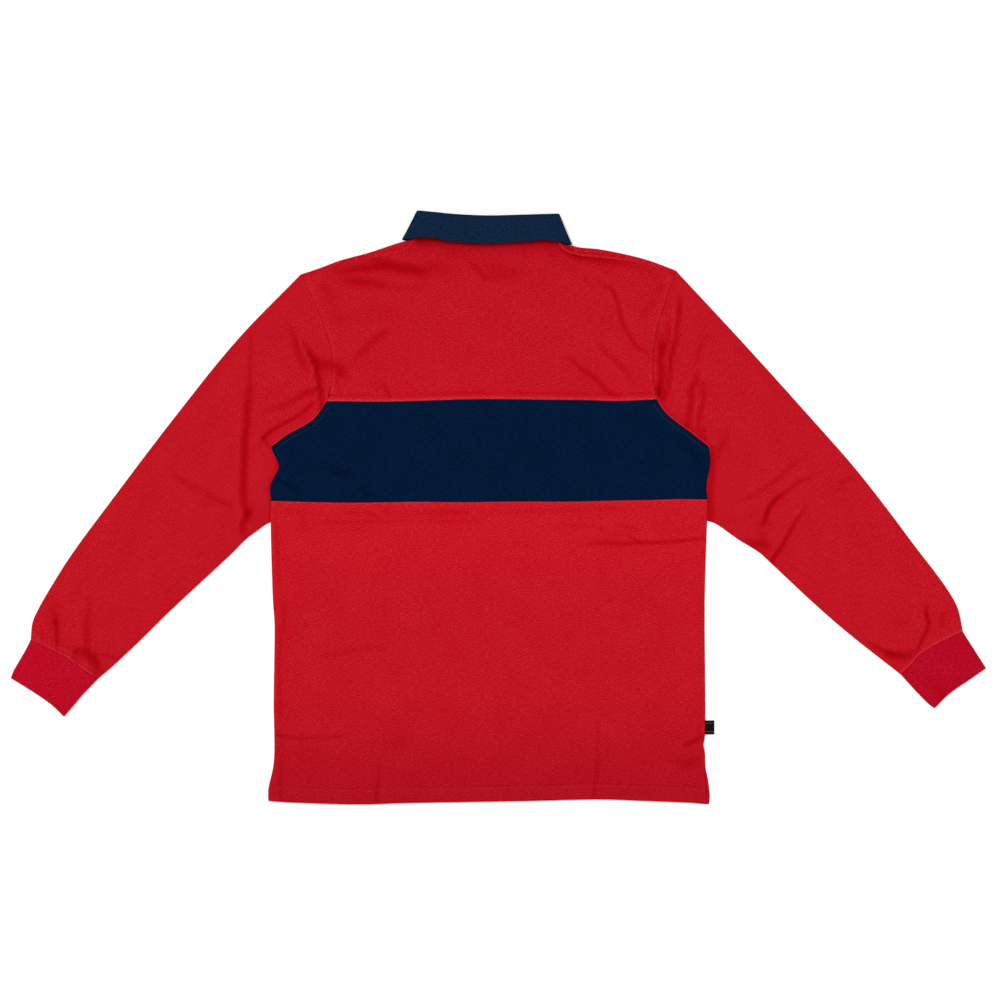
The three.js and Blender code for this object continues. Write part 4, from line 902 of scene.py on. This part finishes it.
def lower_back_height(x, y, sides, u, v):
    top, bottom, left, right = sides
    z, tone = back_surface(x, y)
    # the lip below the band's seam, with a painted highlight on it
    z = z + 0.55 * bump(top, LIP_PLACE, LIP_WIDE) - 0.8 * drop(top, 1.0)
    tone = tone + 0.06 * bump(top, 0.9, 1.6) + 0.02 * bump(top, 6, 4)
    # the hem: twice as thick, drawn in by its stitches and slightly puckered
    z = z + HEM_HIGH * (1 - smooth((bottom - HEM_DEPTH + 2) / 3))
    z = z - 0.4 * bump(bottom, HEM_DEPTH, 1.1) - 0.9 * drop(bottom, 1.6)
    z = z + 0.1 * np.sin(x * 0.55 + 2 * np.sin(x * 0.11)) * bump(bottom, HEM_DEPTH - 5, 6)
    uneven = 0.8 + 0.5 * noise_field(x, 0 * x, 45, 9)
    # painted light just below the band, and painted shade that grows towards the hem
    tone = tone + 1j * (0.06 * np.exp(-((y + 35) / 60) ** 2) - 0.15 * smooth((-y - 220) / 170))
    # painted highlight on the hem's side of its stitches and painted shade in their groove
    tone = tone + uneven * (0.05 * bump(bottom, HEM_DEPTH - 2, 1.1) - 0.08 * bump(bottom, HEM_DEPTH + 0.3, 1.0))
    # the sides roll down, with a painted highlight along the roll
    for side in (left, right):
        z = z - 1.6 * drop(side, SIDE_ROLL)
        tone = tone + 0.03 * bump(side, 1.2, 1.8)
    return z, tone


back_upper = panel("back_upper", upper_back, shares(UPPER_LONG), back_columns, upper_back_height, red_jersey)
back_band = panel("back_band", band_plan, shares(BAND_LONG), back_columns, band_height, navy_jersey)
back_lower = panel("back_lower", lower_back, shares(LOWER_LONG), back_columns, lower_back_height, red_jersey)

# Front panels. The upper one goes on over the shoulders, round the fold and down to the shoulder seam.


def shoulder_row(u):
    """Fold, seam and inward direction in plan at the given shares of the columns, with the heights there."""
    u = np.asarray(u, float)
    left = u <= SHOULDER_STRETCH_LEFT
    share = np.where(left, u / SHOULDER_STRETCH_LEFT, (u - SHOULDER_STRETCH_RIGHT) / (1 - SHOULDER_STRETCH_RIGHT))
    fold = np.where(left[..., None], edge["fold_left"](share), edge["fold_right"](share))
    seam = np.where(left[..., None], seam_left(share), seam_right(share))
    inward = seam - fold
    inward /= np.linalg.norm(inward, axis=-1)[..., None]
    low = lift_at(seam[..., 0], seam[..., 1])
    high = back_middle(seam[..., 0], seam[..., 1]) + CLOTH / 2
    return fold, seam, inward, low, high


def roll_start(u):
    fold, _, inward, low, high = shoulder_row(u)
    return fold + inward * ((high - low) / 2)[..., None]


neck_front = Edge([tuple(roll_start(SHOULDER_STRETCH_LEFT))] + EDGE["neck_front"]
                  + [tuple(roll_start(SHOULDER_STRETCH_RIGHT))])


def front_side(name, u):
    corner = roll_start(u)
    knee = 0.1

    def at(v):
        v = np.asarray(v, float)
        straight = blend(corner, edge[name](blend(TIP_WRAP, 1, knee)), np.clip(v / knee, 0, 1)[..., None])
        return np.where((v < knee)[..., None], straight, edge[name](blend(TIP_WRAP, 1, v)))
    return at


upper_front = patch(
    chain([
        lambda share: roll_start(share * SHOULDER_STRETCH_LEFT),
        neck_front,
        lambda share: roll_start(np.maximum(blend(SHOULDER_STRETCH_RIGHT, 1, share), SHOULDER_STRETCH_RIGHT + 1e-9)),
    ], neck_bounds),
    edge["band_top"],
    front_side("armhole_left", 0.0),
    front_side("armhole_right", 1.0),
)

FRONT_STEP = 4
ROLL_STEPS = 9
SEAM_LIP = 0.7


def under_crease(x, y):
    """The creases of what rests on the floor, without their hollows, so the underside stays flat."""
    height, tone = crease_at(x, y, CREASES_UNDER)
    return np.maximum(height, 0), tone


def front_upper_piece():
    columns = np.unique(np.append(shares(SHOULDERS_WIDE, FRONT_STEP), [SHOULDER_STRETCH_LEFT, SHOULDER_STRETCH_RIGHT]))
    rows = shares(FRONT_UPPER_LONG, FRONT_STEP)
    u, v = np.meshgrid(columns, rows)
    plan = upper_front(u, v)
    under, _ = under_crease(plan[..., 0], plan[..., 1])
    z = lift_at(plan[..., 0], plan[..., 1]) + CLOTH / 2 + under * smooth(v / 0.1)
    points = [np.concatenate([plan, z[..., None]], axis=-1).reshape(-1, 3)]
    tones = [np.ones(plan.shape[:2]).ravel()]
    faces = [grid_faces(*plan.shape[:2])[:, ::-1]]
    grain = [plan.reshape(-1, 2)]
    count = plan.shape[0] * plan.shape[1]
    for chosen in (columns <= SHOULDER_STRETCH_LEFT, columns >= SHOULDER_STRETCH_RIGHT):
        index = np.flatnonzero(chosen)
        share = np.maximum(columns[index], 0)
        fold, seam, inward, low, high = shoulder_row(np.where(share == SHOULDER_STRETCH_RIGHT, share + 1e-9, share))
        radius = (high - low) / 2
        reach = radius - CLOTH / 2
        points[0][index, 2] = low + CLOTH / 2
        strips = []
        for angle in np.linspace(-math.pi / 2, math.pi / 2, ROLL_STEPS)[1:]:
            place = fold + inward * (radius - reach * math.cos(angle))[:, None]
            strips.append(np.concatenate([place, (low + radius + reach * math.sin(angle))[:, None]], axis=1))
        width = away(fold, seam) - radius
        strip_tones = [np.ones(len(index)) for _ in strips]
        shown = shoulder_seam_share(seam[:, 0], 0.5)
        for share_in in (0.2, 0.4, 0.55, 0.68, 0.78, 0.86, 0.92, 0.96, 1.0):
            place = fold + inward * (radius + width * share_in)[:, None]
            gap = (1 - share_in) * width
            # the seam's lip, with a painted highlight on it and painted shade in the groove beside it
            lip = shown * (SEAM_LIP * bump(gap, 2, 1.8) - 0.9 * drop(gap, 1.0) - 0.6 * bump(gap, 6.0, 1.4))
            strips.append(np.concatenate([place, (high - CLOTH / 2 + lip)[:, None]], axis=1))
            strip_tones.append(1 + shown * (0.06 * bump(gap, 1.8, 1.6) - 0.2 * bump(gap, 6.0, 1.4)))
        strip = np.stack(strips)
        tones.append(np.stack(strip_tones).ravel())
        length = len(index)
        order = np.vstack([index[None], count + np.arange(strip.shape[0] * length).reshape(-1, length)])
        lower, upper = order[:-1], order[1:]
        quads = np.stack([lower[:, :-1], lower[:, 1:], upper[:, 1:], upper[:, :-1]], axis=-1).reshape(-1, 4)
        points.append(strip.reshape(-1, 3))
        faces.append(quads[:, ::-1])
        grain.append(strip[..., :2].reshape(-1, 2) + np.repeat(np.arange(strip.shape[0]), length)[:, None] * 1.1)
        count += strip.shape[0] * length
    mesh = build_mesh("front_upper", np.concatenate(points), np.concatenate(faces), np.concatenate(grain),
                      np.concatenate(tones))
    piece = finish_piece("front_upper", mesh, red_jersey, ["front_upper"])
    thicken(piece, SHELL)
    return piece


def front_height(x, y, sides, u, v):
    height, tone = under_crease(x, y)
    # painted shade along the creases that stand off the floor
    return lift_at(x, y) + height + SHELL / 2 + FLOOR_GAP, 1 - tone


def front_lower_height(x, y, sides, u, v):
    height, tone = under_crease(x, y)
    hem = 1 - smooth((sides[1] - HEM_DEPTH + 2) / 3)
    # painted shade in the hem's stitch line
    return SHELL / 2 + FLOOR_GAP + height + HEM_HIGH * hem, 1 - tone - 0.06 * bump(sides[1], HEM_DEPTH, 1.5)


front_upper = front_upper_piece()
front_columns = shares(BODY_WIDE, FRONT_STEP)
front_band = panel("front_band", band_plan, shares(BAND_LONG, FRONT_STEP), front_columns, front_height, navy_jersey)
front_lower = panel("front_lower", lower_front, shares(LOWER_LONG, FRONT_STEP), front_columns, front_lower_height,
                    red_jersey)

# Sleeves and cuffs

SLEEVE_EDGE_TOP = 3.4
SLEEVE_CROWN = 1.5
TURN = np.radians([-75, -50, -25, 0, 25, 50, 75])
TOP_COLUMNS = 140
CUFF_COLUMNS = 220  # enough for the ribs
BOTTOM_COLUMNS = 30
START_ROWS = 60  # on the armhole, and again on the band's end
START_POINTS = 700  # places on the body's edge that a sleeve's distance from it is measured to
SIDE_SHARE = 0.069  # how far down the body's side the sleeve's seam goes on, as a share of it


def sleeve_start(armhole, band_edge, side, first_lower, outward):
    """The body's edge that a sleeve is sewn to, moved out by the seam gap, with the shares of its length at which
    the armhole and the band's diagonal end."""
    rows = np.linspace(0, 1, START_ROWS)
    upper = edge[armhole](rows)
    middle = band_edge(rows[1:])
    lower = edge[side](np.linspace(0, first_lower, 8)[1:])
    points = np.vstack([upper, middle, lower])
    line = Edge(points - to_left(points) * outward * SEAM_GAP, curved=False)
    return line, [line.ends[count - 1] / line.length for count in (START_ROWS, START_ROWS + START_ROWS // 2)]


def tube(name, place, stations, wall_top, edge_top, material, columns=TOP_COLUMNS):
    """A tube pressed flat. wall_top gives the height and tone of its upper side."""
    rings, grains, tones = [], [], []
    top_share = np.linspace(0, 1, columns + 2)[1:-1]
    bottom_share = np.linspace(0, 1, BOTTOM_COLUMNS + 2)[1:-1]
    starts = place(top_share, stations[0])
    for v in stations:
        dense = place(np.linspace(0, 1, 24), v)
        length = away(dense[1:], dense[:-1]).sum()
        radius = edge_top / 2
        margin = radius / length
        inset = (radius - radius * np.cos(TURN)) / length
        height = radius + radius * np.sin(TURN)
        top_u = blend(margin, 1 - margin, top_share)
        bottom_u = blend(margin, 1 - margin, bottom_share)[::-1]
        first = place(inset, v)
        top = place(top_u, v)
        last = place(1 - inset[::-1], v)
        bottom = place(bottom_u, v)
        top_z, top_tone = wall_top(top[:, 0], top[:, 1], top_u, v, away(top, starts), length)
        turn_first = height + (top_z[0] - edge_top) * smooth((np.sin(TURN) + 1) / 2)
        turn_last = height[::-1] + (top_z[-1] - edge_top) * smooth((np.sin(TURN[::-1]) + 1) / 2)
        ring = np.concatenate([
            np.column_stack([first, turn_first]),
            np.column_stack([top, top_z]),
            np.column_stack([last, turn_last]),
            np.column_stack([bottom, TUBE_FLOOR_GAP + under_crease(bottom[:, 0], bottom[:, 1])[0]]),
        ])
        rings.append(ring)
        tones.append(np.concatenate([np.full(len(first), top_tone[0]), top_tone, np.full(len(last), top_tone[-1]),
                                     np.ones(len(bottom))]))
        around = np.concatenate([[0], np.cumsum(away(ring[1:], ring[:-1]))])
        grains.append(np.column_stack([around, np.full(len(ring), v)]))
    points = np.stack(rings)
    middle = away(points[1:, len(TURN) + columns // 2, :2], points[:-1, len(TURN) + columns // 2, :2])
    along = np.concatenate([[0], np.cumsum(middle)])
    grain = np.stack(grains)
    grain[..., 1] = along[:, None]
    mesh = build_mesh(name, points.reshape(-1, 3), grid_faces(len(stations), points.shape[1], closed=True),
                      grain.reshape(-1, 2), np.stack(tones))
    piece = finish_piece(name, mesh, material, [name])
    piece.data.flip_normals()
    return piece


CUFF_STRIP = 7  # the sleeve's end, turned and sewn down beside the cuff
CUFF_TOP = 5.0
CUFF_EDGE_TOP = 4.2
RIB_PITCH = 2.3
RIB_HIGH = 0.07

# The sleeve's rows leave the body's edge with its corners and soon follow this bend instead.
SLEEVE_BEND = {"left": (-345, 190), "right": (321, 190)}
BEND_LENGTH = 0.24


def bend(first, middle, last, u):
    u = np.asarray(u, float)[..., None]
    return (1 - u) ** 2 * first + 2 * u * (1 - u) * np.array(middle, float) + u ** 2 * last


def sleeve_and_cuff(side, creases, seed):
    left = side == "left"
    start, (armhole_end, diagonal_end) = sleeve_start(
        f"armhole_{side}", band_left if left else band_right, "side_left" if left else "side_right_back",
        SIDE_SHARE, -1 if left else 1)
    seam = edge[f"cuff_seam_{side}"]
    outer = Edge([tuple(start(0.0))] + EDGE[f"sleeve_out_{side}"])
    inner = Edge([tuple(start(1.0))] + EDGE[f"sleeve_in_{side}"])
    end = edge[f"cuff_end_{side}"]
    gap = unit(seam(0.5), end(0.5)) * SEAM_GAP
    cuff_start = Edge(seam.points + gap, curved=False)
    cuff_outer = Edge([tuple(cuff_start(0.0))] + EDGE[f"cuff_out_{side}"])
    cuff_inner = Edge([tuple(cuff_start(1.0))] + EDGE[f"cuff_in_{side}"])
    soft_place = patch(lambda u: bend(start(0.0), SLEEVE_BEND[side], start(1.0), u), seam, outer, inner)

    def sleeve_place(u, v):
        fade = np.clip(1 - np.asarray(v, float) / BEND_LENGTH, 0, 1)[..., None] ** 2
        return soft_place(u, v) + fade * (start(u) - bend(start(0.0), SLEEVE_BEND[side], start(1.0), u))

    cuff_place = patch(cuff_start, end, cuff_outer, cuff_inner)

    def gap_to(line, x, y, count=90):
        place = line(np.linspace(0, 1, count))
        return np.min(np.hypot(x[:, None] - place[None, :, 0], y[:, None] - place[None, :, 1]), axis=1)

    def sleeve_top(x, y, u, v, _, length):
        from_start = gap_to(start, x, y, START_POINTS)
        to_cuff = away(np.column_stack([x, y]), seam(u))
        height, tone = crease_at(x, y, creases)
        # near the cuff the gathers look less deep in colour and more in shade
        beside = bump(to_cuff, 0, 28)
        tone = tone * (1 - 0.65 * beside) + 0.3j * beside * tone
        to_outer, to_inner = gap_to(outer, x, y), gap_to(inner, x, y)
        crown = smooth(to_outer * to_inner / (to_outer + to_inner + 1) / 28)
        z = SLEEVE_EDGE_TOP + SLEEVE_CROWN * crown + height + RIPPLE_HIGH * ripple(x, y, seed)
        # beside the body: the armhole, the band's diagonal with its lip, and the loose cloth below, with a painted
        # highlight on the lip and painted shade in the hollows and beside the body
        diagonal = smooth((u - armhole_end + 0.02) / 0.04) * (1 - smooth((u - diagonal_end + 0.02) / 0.04))
        below = smooth((u - diagonal_end) / 0.05)
        z = z + diagonal * (0.8 * bump(from_start, 2.0, 2.0) - 0.6 * drop(from_start, 1.0))
        hollow = 0.01 if left else 0.1
        tone = 1 + tone + diagonal * (0.15 * bump(from_start, 0.7, 0.9) - hollow * bump(from_start, 3, 1.8))
        if left:
            z = z - diagonal * 0.4 * bump(from_start, 14, 1.8)
            tone = tone - diagonal * 0.06 * bump(from_start, 14, 1.6)
        armhole = (1 - diagonal) * (1 - below)
        z = z - armhole * (0.05 if left else 0.15) * drop(from_start, 1.2)
        tone = tone + armhole * (0.03 * bump(from_start, 1, 1.5) if left else -0.03 * bump(from_start, 0, 1.0))
        z = z - below * 1.0 * (1 - smooth(from_start / 30))
        tone = tone - below * 0.12 * bump(from_start, 0, 3)
        # the strip beside the cuff, with the pleats that the gathering leaves; painted highlights along the strip's
        # edges and painted light and shade on the pleats
        strip = 1 if left else 0.4
        z = z + strip * (0.5 * (1 - smooth((to_cuff - CUFF_STRIP + 1.4) / 1.6))
                         - 0.3 * bump(to_cuff, CUFF_STRIP, 1.1))
        z = z - 0.4 * drop(to_cuff, 0.8)
        tone = tone + 0.14 * bump(to_cuff, 1.5 if left else 2.2, 1.5) + 0.08 * strip * bump(to_cuff, 7.2, 1.4)
        tone = tone - 0.02 * strip * bump(to_cuff, 4.4, 1.2)
        pleats = np.sin(u * length * 1.15 + 1.7 * np.sin(u * length * 0.31)) * bump(to_cuff, CUFF_STRIP + 3, 4)
        edges = smooth(np.minimum(u, 1 - u) * length / 14)
        return np.maximum(z + 0.15 * pleats * edges, 1.6), tone + 0.02 * pleats * edges

    def cuff_top(x, y, u, v, from_start, length):
        height, tone = crease_at(x, y, CREASES_CUFFS)
        z = blend(CUFF_EDGE_TOP, CUFF_TOP, np.sin(math.pi * u) ** 0.6) - 0.55 + height
        z = z + 0.4 * ripple(x, y, seed + 9)
        to_end = away(np.column_stack([x, y]), end(u))
        z = z - 0.3 * drop(from_start, 1.0) - 1.8 * drop(to_end, 3.0)
        rib = np.cos(u * seam.length / RIB_PITCH * 2 * math.pi)
        # painted shade along the cuff's seam; the left cuff painted a little lighter and the right one a little darker
        tone = 1 + tone - 0.04 * bump(from_start, 0.5, 1.0) + (0.05j if left else -0.04j)
        return z + RIB_HIGH * rib * smooth(np.minimum(u, 1 - u) * length / 6) * smooth(to_end / 4), tone

    sleeve_length = (outer.length + inner.length) / 2
    sleeve = tube(f"sleeve_{side}", sleeve_place, shares(sleeve_length), sleeve_top, SLEEVE_EDGE_TOP, red_jersey)
    cuff = tube(f"cuff_{side}", cuff_place, shares(CUFF_LONG, CUFF_STEP), cuff_top, CUFF_EDGE_TOP, red_rib,
                columns=CUFF_COLUMNS)
    return sleeve, cuff, sleeve_place, cuff_place


# Collar

STAND_SHARES = np.linspace(0, 0.96, 10)
ROLL_ANGLES = np.radians(np.linspace(-75, 75, 9))
ROLL_MIDDLE = len(STAND_SHARES) + len(ROLL_ANGLES) // 2  # the place on the roll in each section's ring
LEAF_SHARES = np.concatenate([np.linspace(0.03, 0.93, 14), [0.96, 0.985, 1]])
SIDE_ANGLES = np.radians(np.linspace(75, -75, 11))
LEAF_SPRING = 2.8  # how far the leaf's edge stands off the back
LEAF_UNEVEN = 0.12
LEAF_FLOOR_LIMIT = 0.03  # under the front the leaf stays over the floor
COLLAR_FRONT_SECTIONS = 44
COLLAR_BACK_SECTIONS = 64
# Ways out at the collar's sides, square to its side lines
OUT_LEFT = (-0.9, 0.434)
OUT_RIGHT = (0.929, 0.371)


def collar_lines(rows, count):
    """The rows' seam, roll and leaf edge at even steps along smooth lines through them."""
    lines = [Edge([row[part] for row in rows]) for part in range(3)]
    share = np.linspace(0, 1, count + 1)
    return list(zip(*(line(share) for line in lines)))


def collar_piece():
    """Sections from the front's left end round the neck to its right end. Each is a ring from the seam up the
    stand, round the roll and down the leaf, turned about the middle height by its angle: up at the back, down
    under the front."""
    up = math.pi / 2
    mirrored = [tuple((2 * COLLAR_CENTRE_X - x, y) for x, y in row) for row in COLLAR_FRONT]
    left = collar_lines([COLLAR_SIDE_LEFT] + COLLAR_FRONT, COLLAR_FRONT_SECTIONS)
    right = collar_lines([COLLAR_SIDE_RIGHT] + mirrored, COLLAR_FRONT_SECTIONS)
    back = collar_lines(COLLAR_BACK, COLLAR_BACK_SECTIONS)
    side_left = tuple(np.array(place, float) for place in COLLAR_SIDE_LEFT)
    side_right = tuple(np.array(place, float) for place in COLLAR_SIDE_RIGHT)
    across = np.array([1, 0])
    sections = [(*row, -up, across) for row in left[::-1]]
    sections += [(*side_left, angle, np.array(OUT_LEFT)) for angle in SIDE_ANGLES[::-1]]
    sections += [(*row, up, across) for row in back]
    sections += [(*side_right, angle, np.array(OUT_RIGHT)) for angle in SIDE_ANGLES]
    sections += [(*row, -up, across) for row in right]
    roll_radius = (LEAF_RADIUS - STAND_RADIUS) / 2
    rings, grains = [], []
    travelled, before = 0.0, None
    for seam, roll, leaf_edge, angle, outward in sections:
        rise, reach = math.sin(angle), math.cos(angle)

        def at(plan, radius):
            return np.array([*(plan + outward * radius * reach), COLLAR_MIDDLE_Z + radius * rise])

        onward = unit(seam, roll)
        pulled = CORNER_PULL * reach
        leaf_edge = leaf_edge - unit(leaf_edge, roll) * TIP_REACH * reach
        roll = roll - onward * pulled
        ring = [at(blend(seam, roll, share), STAND_RADIUS) for share in STAND_SHARES]
        ring += [at(roll + onward * roll_radius * math.cos(beta),
                    STAND_RADIUS + roll_radius * (1 + math.sin(beta))) for beta in ROLL_ANGLES]
        for share in LEAF_SHARES:
            plan = blend(roll, leaf_edge, share)
            lift = LEAF_UNEVEN * noise_field(plan[0], plan[1], 22, 5) + LEAF_SPRING * max(rise, 0) * share ** 2
            if angle < 0:
                lift = min(lift, LEAF_FLOOR_LIMIT)
            ring.append(at(plan, LEAF_RADIUS + lift))
        ring = np.array(ring)
        if before is not None:
            travelled += float(away(ring[ROLL_MIDDLE], before[ROLL_MIDDLE]))
        before = ring
        down = np.concatenate([[0], np.cumsum(away(ring[1:], ring[:-1]))])
        rings.append(ring)
        grains.append(np.column_stack([np.full(len(ring), travelled), down]))
    points = np.stack(rings)
    mesh = build_mesh("collar", points.reshape(-1, 3), grid_faces(*points.shape[:2])[:, ::-1],
                      np.stack(grains).reshape(-1, 2))
    piece = finish_piece("collar", mesh, navy_twill, ["collar"])
    thicken(piece, COLLAR_CLOTH)
    return piece


# Placket, buttons and side tab

PLACKET_WIDTH = 34
PLACKET_TOP = 258
PLACKET_BOTTOM = 98
PLACKET_MIDDLE = 2.1  # height of the middle of its cloth
BUTTON_ROWS = (235, 180, 125)
TAB_SEAM = 268.35
TAB_END = 281.0
TAB_LOW = -294.0
TAB_HIGH = -276.0
TAB_CLOTH = 1.0
STRIPE_ROWS = (-279.5, -290.5)
STRIPE_WIDE = 0.9


def flat_grid(name, x_range, y_range, step, z_at, material, replaces, thickness):
    x = np.arange(x_range[0], x_range[1] + step / 2, step)
    y = np.arange(y_range[1], y_range[0] - step / 2, -step)
    gx, gy = np.meshgrid(x, y)
    points = np.stack([gx, gy, z_at(gx, gy)], axis=-1)
    mesh = build_mesh(name, points.reshape(-1, 3), grid_faces(*gx.shape), points[..., :2].reshape(-1, 2))
    piece = finish_piece(name, mesh, material, replaces)
    thicken(piece, thickness)
    return piece


# A button's rows of radius and height, with a hollow in the middle of its lower side
BUTTON_PROFILE = [(0.01, 0.45), (3.4, 0.45), (4.0, 0.3), (4.5, 0.05), (5.2, 0.0), (6.0, 0.08), (6.4, 0.35), (6.5, 0.6),
                  (6.4, 0.9), (6.0, 1.15), (5.0, 1.2), (0.01, 1.2)]
BUTTON_SIDES = 48


def button_piece(name, y):
    angle = np.arange(BUTTON_SIDES) / BUTTON_SIDES * 2 * math.pi
    points = np.array([[COLLAR_CENTRE_X + radius * math.cos(turn), y + radius * math.sin(turn), z]
                       for radius, z in BUTTON_PROFILE for turn in angle])
    mesh = build_mesh(name, points, grid_faces(len(BUTTON_PROFILE), BUTTON_SIDES, closed=True), points[:, :2])
    return finish_piece(name, mesh, rubber, [name])


def tab_height(x, y):
    """Sinks from the side seam to its end, with a slight wave."""
    share = smooth((x - TAB_SEAM) / (TAB_END - TAB_SEAM))
    return blend(1.9, 0.9, share) + 0.08 * np.sin(y * 0.9)


# Put the rest of the shirt together

collar = collar_piece()
sleeve_left, cuff_left, sleeve_plan_left, cuff_plan_left = sleeve_and_cuff("left", CREASES_LEFT, 21)
sleeve_right, cuff_right, sleeve_plan_right, cuff_plan_right = sleeve_and_cuff("right", CREASES_RIGHT, 31)
placket = flat_grid(
    "placket",
    (COLLAR_CENTRE_X - PLACKET_WIDTH / 2, COLLAR_CENTRE_X + PLACKET_WIDTH / 2),
    (PLACKET_BOTTOM, PLACKET_TOP), 2, lambda x, y: PLACKET_MIDDLE + 0 * x, navy_twill, ["placket"],
    SHELL)
for index, y in enumerate(BUTTON_ROWS):
    button_piece(f"button_{index + 1}", y)
side_label = flat_grid("side_label", (TAB_SEAM, TAB_END), (TAB_LOW, TAB_HIGH), 0.6, tab_height, tab_cloth,
                       ["side_label"], TAB_CLOTH)
tab_stripes = [
    flat_grid(f"side_label_stripe_{index + 1}", (TAB_SEAM + 1.4, TAB_END - 1.2),
              (y - STRIPE_WIDE / 2, y + STRIPE_WIDE / 2), 0.3, lambda x, y: tab_height(x, y) + 0.55, tab_stripe,
              [], 0.12)
    for index, y in enumerate(STRIPE_ROWS)
]

# Sewing


def back_top(x, y):
    return back_surface(x, y)[0] + SHELL / 2


def hem_top(x, y):
    return back_top(x, y) - 0.1


hem_line = Edge([(x, y + HEM_DEPTH) for x, y in EDGE["hem_back"]])
hem_stitches = stitch_line("hem_stitches", hem_line, hem_top, red_thread, radius=0.26,
                           pitch=3.4, length=2.4)
armhole_stitches, band_stitches = [], []
for side, inside in (("left", 1), ("right", -1)):
    armhole_stitches.append(stitch_line(
        f"armhole_stitches_{side}", offset_edge(edge[f"armhole_{side}"], inside * ARMHOLE_STITCH, 0.04, 0.985),
        lambda x, y: back_top(x, y) - 0.14, red_thread, radius=0.24))
    band_stitches.append(stitch_line(
        f"band_stitches_{side}", offset_edge(edge[f"band_end_{side}"], inside * BAND_STITCH, 0.03, 0.98),
        back_top, faded_thread, radius=0.32))

# The sheets: piece, its cut width and length, what it rests on, its flat area in square metres, what is sewn on it

SHOULDER_ROLLS = 2 * 140 * 16 * MM * MM  # the part of the front that goes over the shoulders
SHEETS = [
    (back_upper, 486, 216, ["front_upper"], plan_area(upper_back), armhole_stitches),
    (back_band, 572, 136, ["front_band"], plan_area(band_plan), band_stitches),
    (back_lower, 571, 397, ["front_lower"], plan_area(lower_back), [hem_stitches]),
    (front_upper, 488, 236, ["floor"], plan_area(upper_front) + SHOULDER_ROLLS, []),
    (front_band, 572, 136, ["floor"], plan_area(band_plan), []),
    (front_lower, 573, 397, ["floor"], plan_area(lower_front), []),
    (sleeve_left, 690, 600, ["floor"], 2 * plan_area(sleeve_plan_left), []),
    (sleeve_right, 690, 600, ["floor"], 2 * plan_area(sleeve_plan_right), []),
    (cuff_left, 210, 62, ["floor"], 2 * plan_area(cuff_plan_left), []),
    (cuff_right, 210, 62, ["floor"], 2 * plan_area(cuff_plan_right), []),
    (collar, 480, 80, ["back_upper", "floor"], 480 * 74 * MM * MM, []),
    (placket, PLACKET_WIDTH, PLACKET_TOP - PLACKET_BOTTOM, ["front_upper"], PLACKET_WIDTH * 160 * MM * MM, []),
    (side_label, TAB_END - TAB_SEAM, TAB_HIGH - TAB_LOW, ["floor"], 12.65 * 18 * MM * MM, tab_stripes),
]

# Floor, light and world

FLOOR_HALF = 15
FLOOR_CORNERS = [(-FLOOR_HALF, -FLOOR_HALF, 0), (FLOOR_HALF, -FLOOR_HALF, 0), (FLOOR_HALF, FLOOR_HALF, 0),
                 (-FLOOR_HALF, FLOOR_HALF, 0)]
FLOOR_COLOUR = (0.95, 0.95, 0.95, 1)
KEY_PLACE = (-1.1, 1.4, 2.1)
KEY_LIGHT = {"energy": 1.85, "angle": math.radians(28)}
TOP_PLACES = [(-0.4, 0.02, 2.8), (0, 0.02, 2.8), (0.4, 0.02, 2.8)]
TOP_LIGHT = {"energy": 28, "shadow_soft_size": 0.3, "spot_size": math.radians(19), "spot_blend": 1.0}
WORLD_STRENGTH = 0.8

floor_mesh = bpy.data.meshes.new("floor")
floor_mesh.from_pydata(FLOOR_CORNERS, [], [(0, 1, 2, 3)])
floor = bpy.data.objects.new("floor", floor_mesh)
bpy.context.scene.collection.objects.link(floor)
floor_material = bpy.data.materials.new("floor")
floor_material.use_nodes = True
floor_shader = floor_material.node_tree.nodes["Principled BSDF"]
floor_shader.inputs["Base Color"].default_value = FLOOR_COLOUR
floor_shader.inputs["Roughness"].default_value = 0.9
floor_shader.inputs["Specular IOR Level"].default_value = 0.1
floor_mesh.materials.append(floor_material)


def aim(light, place, target, values):
    """Puts a light at a place, turned to its target."""
    for name, value in values.items():
        setattr(light, name, value)
    lamp = bpy.data.objects.new(light.name, light)
    bpy.context.scene.collection.objects.link(lamp)
    lamp.location = place
    step = [t - p for t, p in zip(target, place)]
    flat = math.hypot(step[0], step[1])
    lamp.rotation_euler = (math.atan2(flat, -step[2]), 0, math.atan2(step[1], step[0]) - math.pi / 2)


aim(bpy.data.lights.new("key", "SUN"), KEY_PLACE, (0, 0, 0), KEY_LIGHT)
for index, place in enumerate(TOP_PLACES):
    aim(bpy.data.lights.new(f"top_{index + 1}", "SPOT"), place, (place[0], place[1], 0), TOP_LIGHT)
world = bpy.data.worlds.new("studio")
world.use_nodes = True
world.node_tree.nodes["Background"].inputs["Color"].default_value = (1, 1, 1, 1)
world.node_tree.nodes["Background"].inputs["Strength"].default_value = WORLD_STRENGTH
bpy.context.scene.world = world
bpy.context.scene.view_settings.view_transform = "Standard"
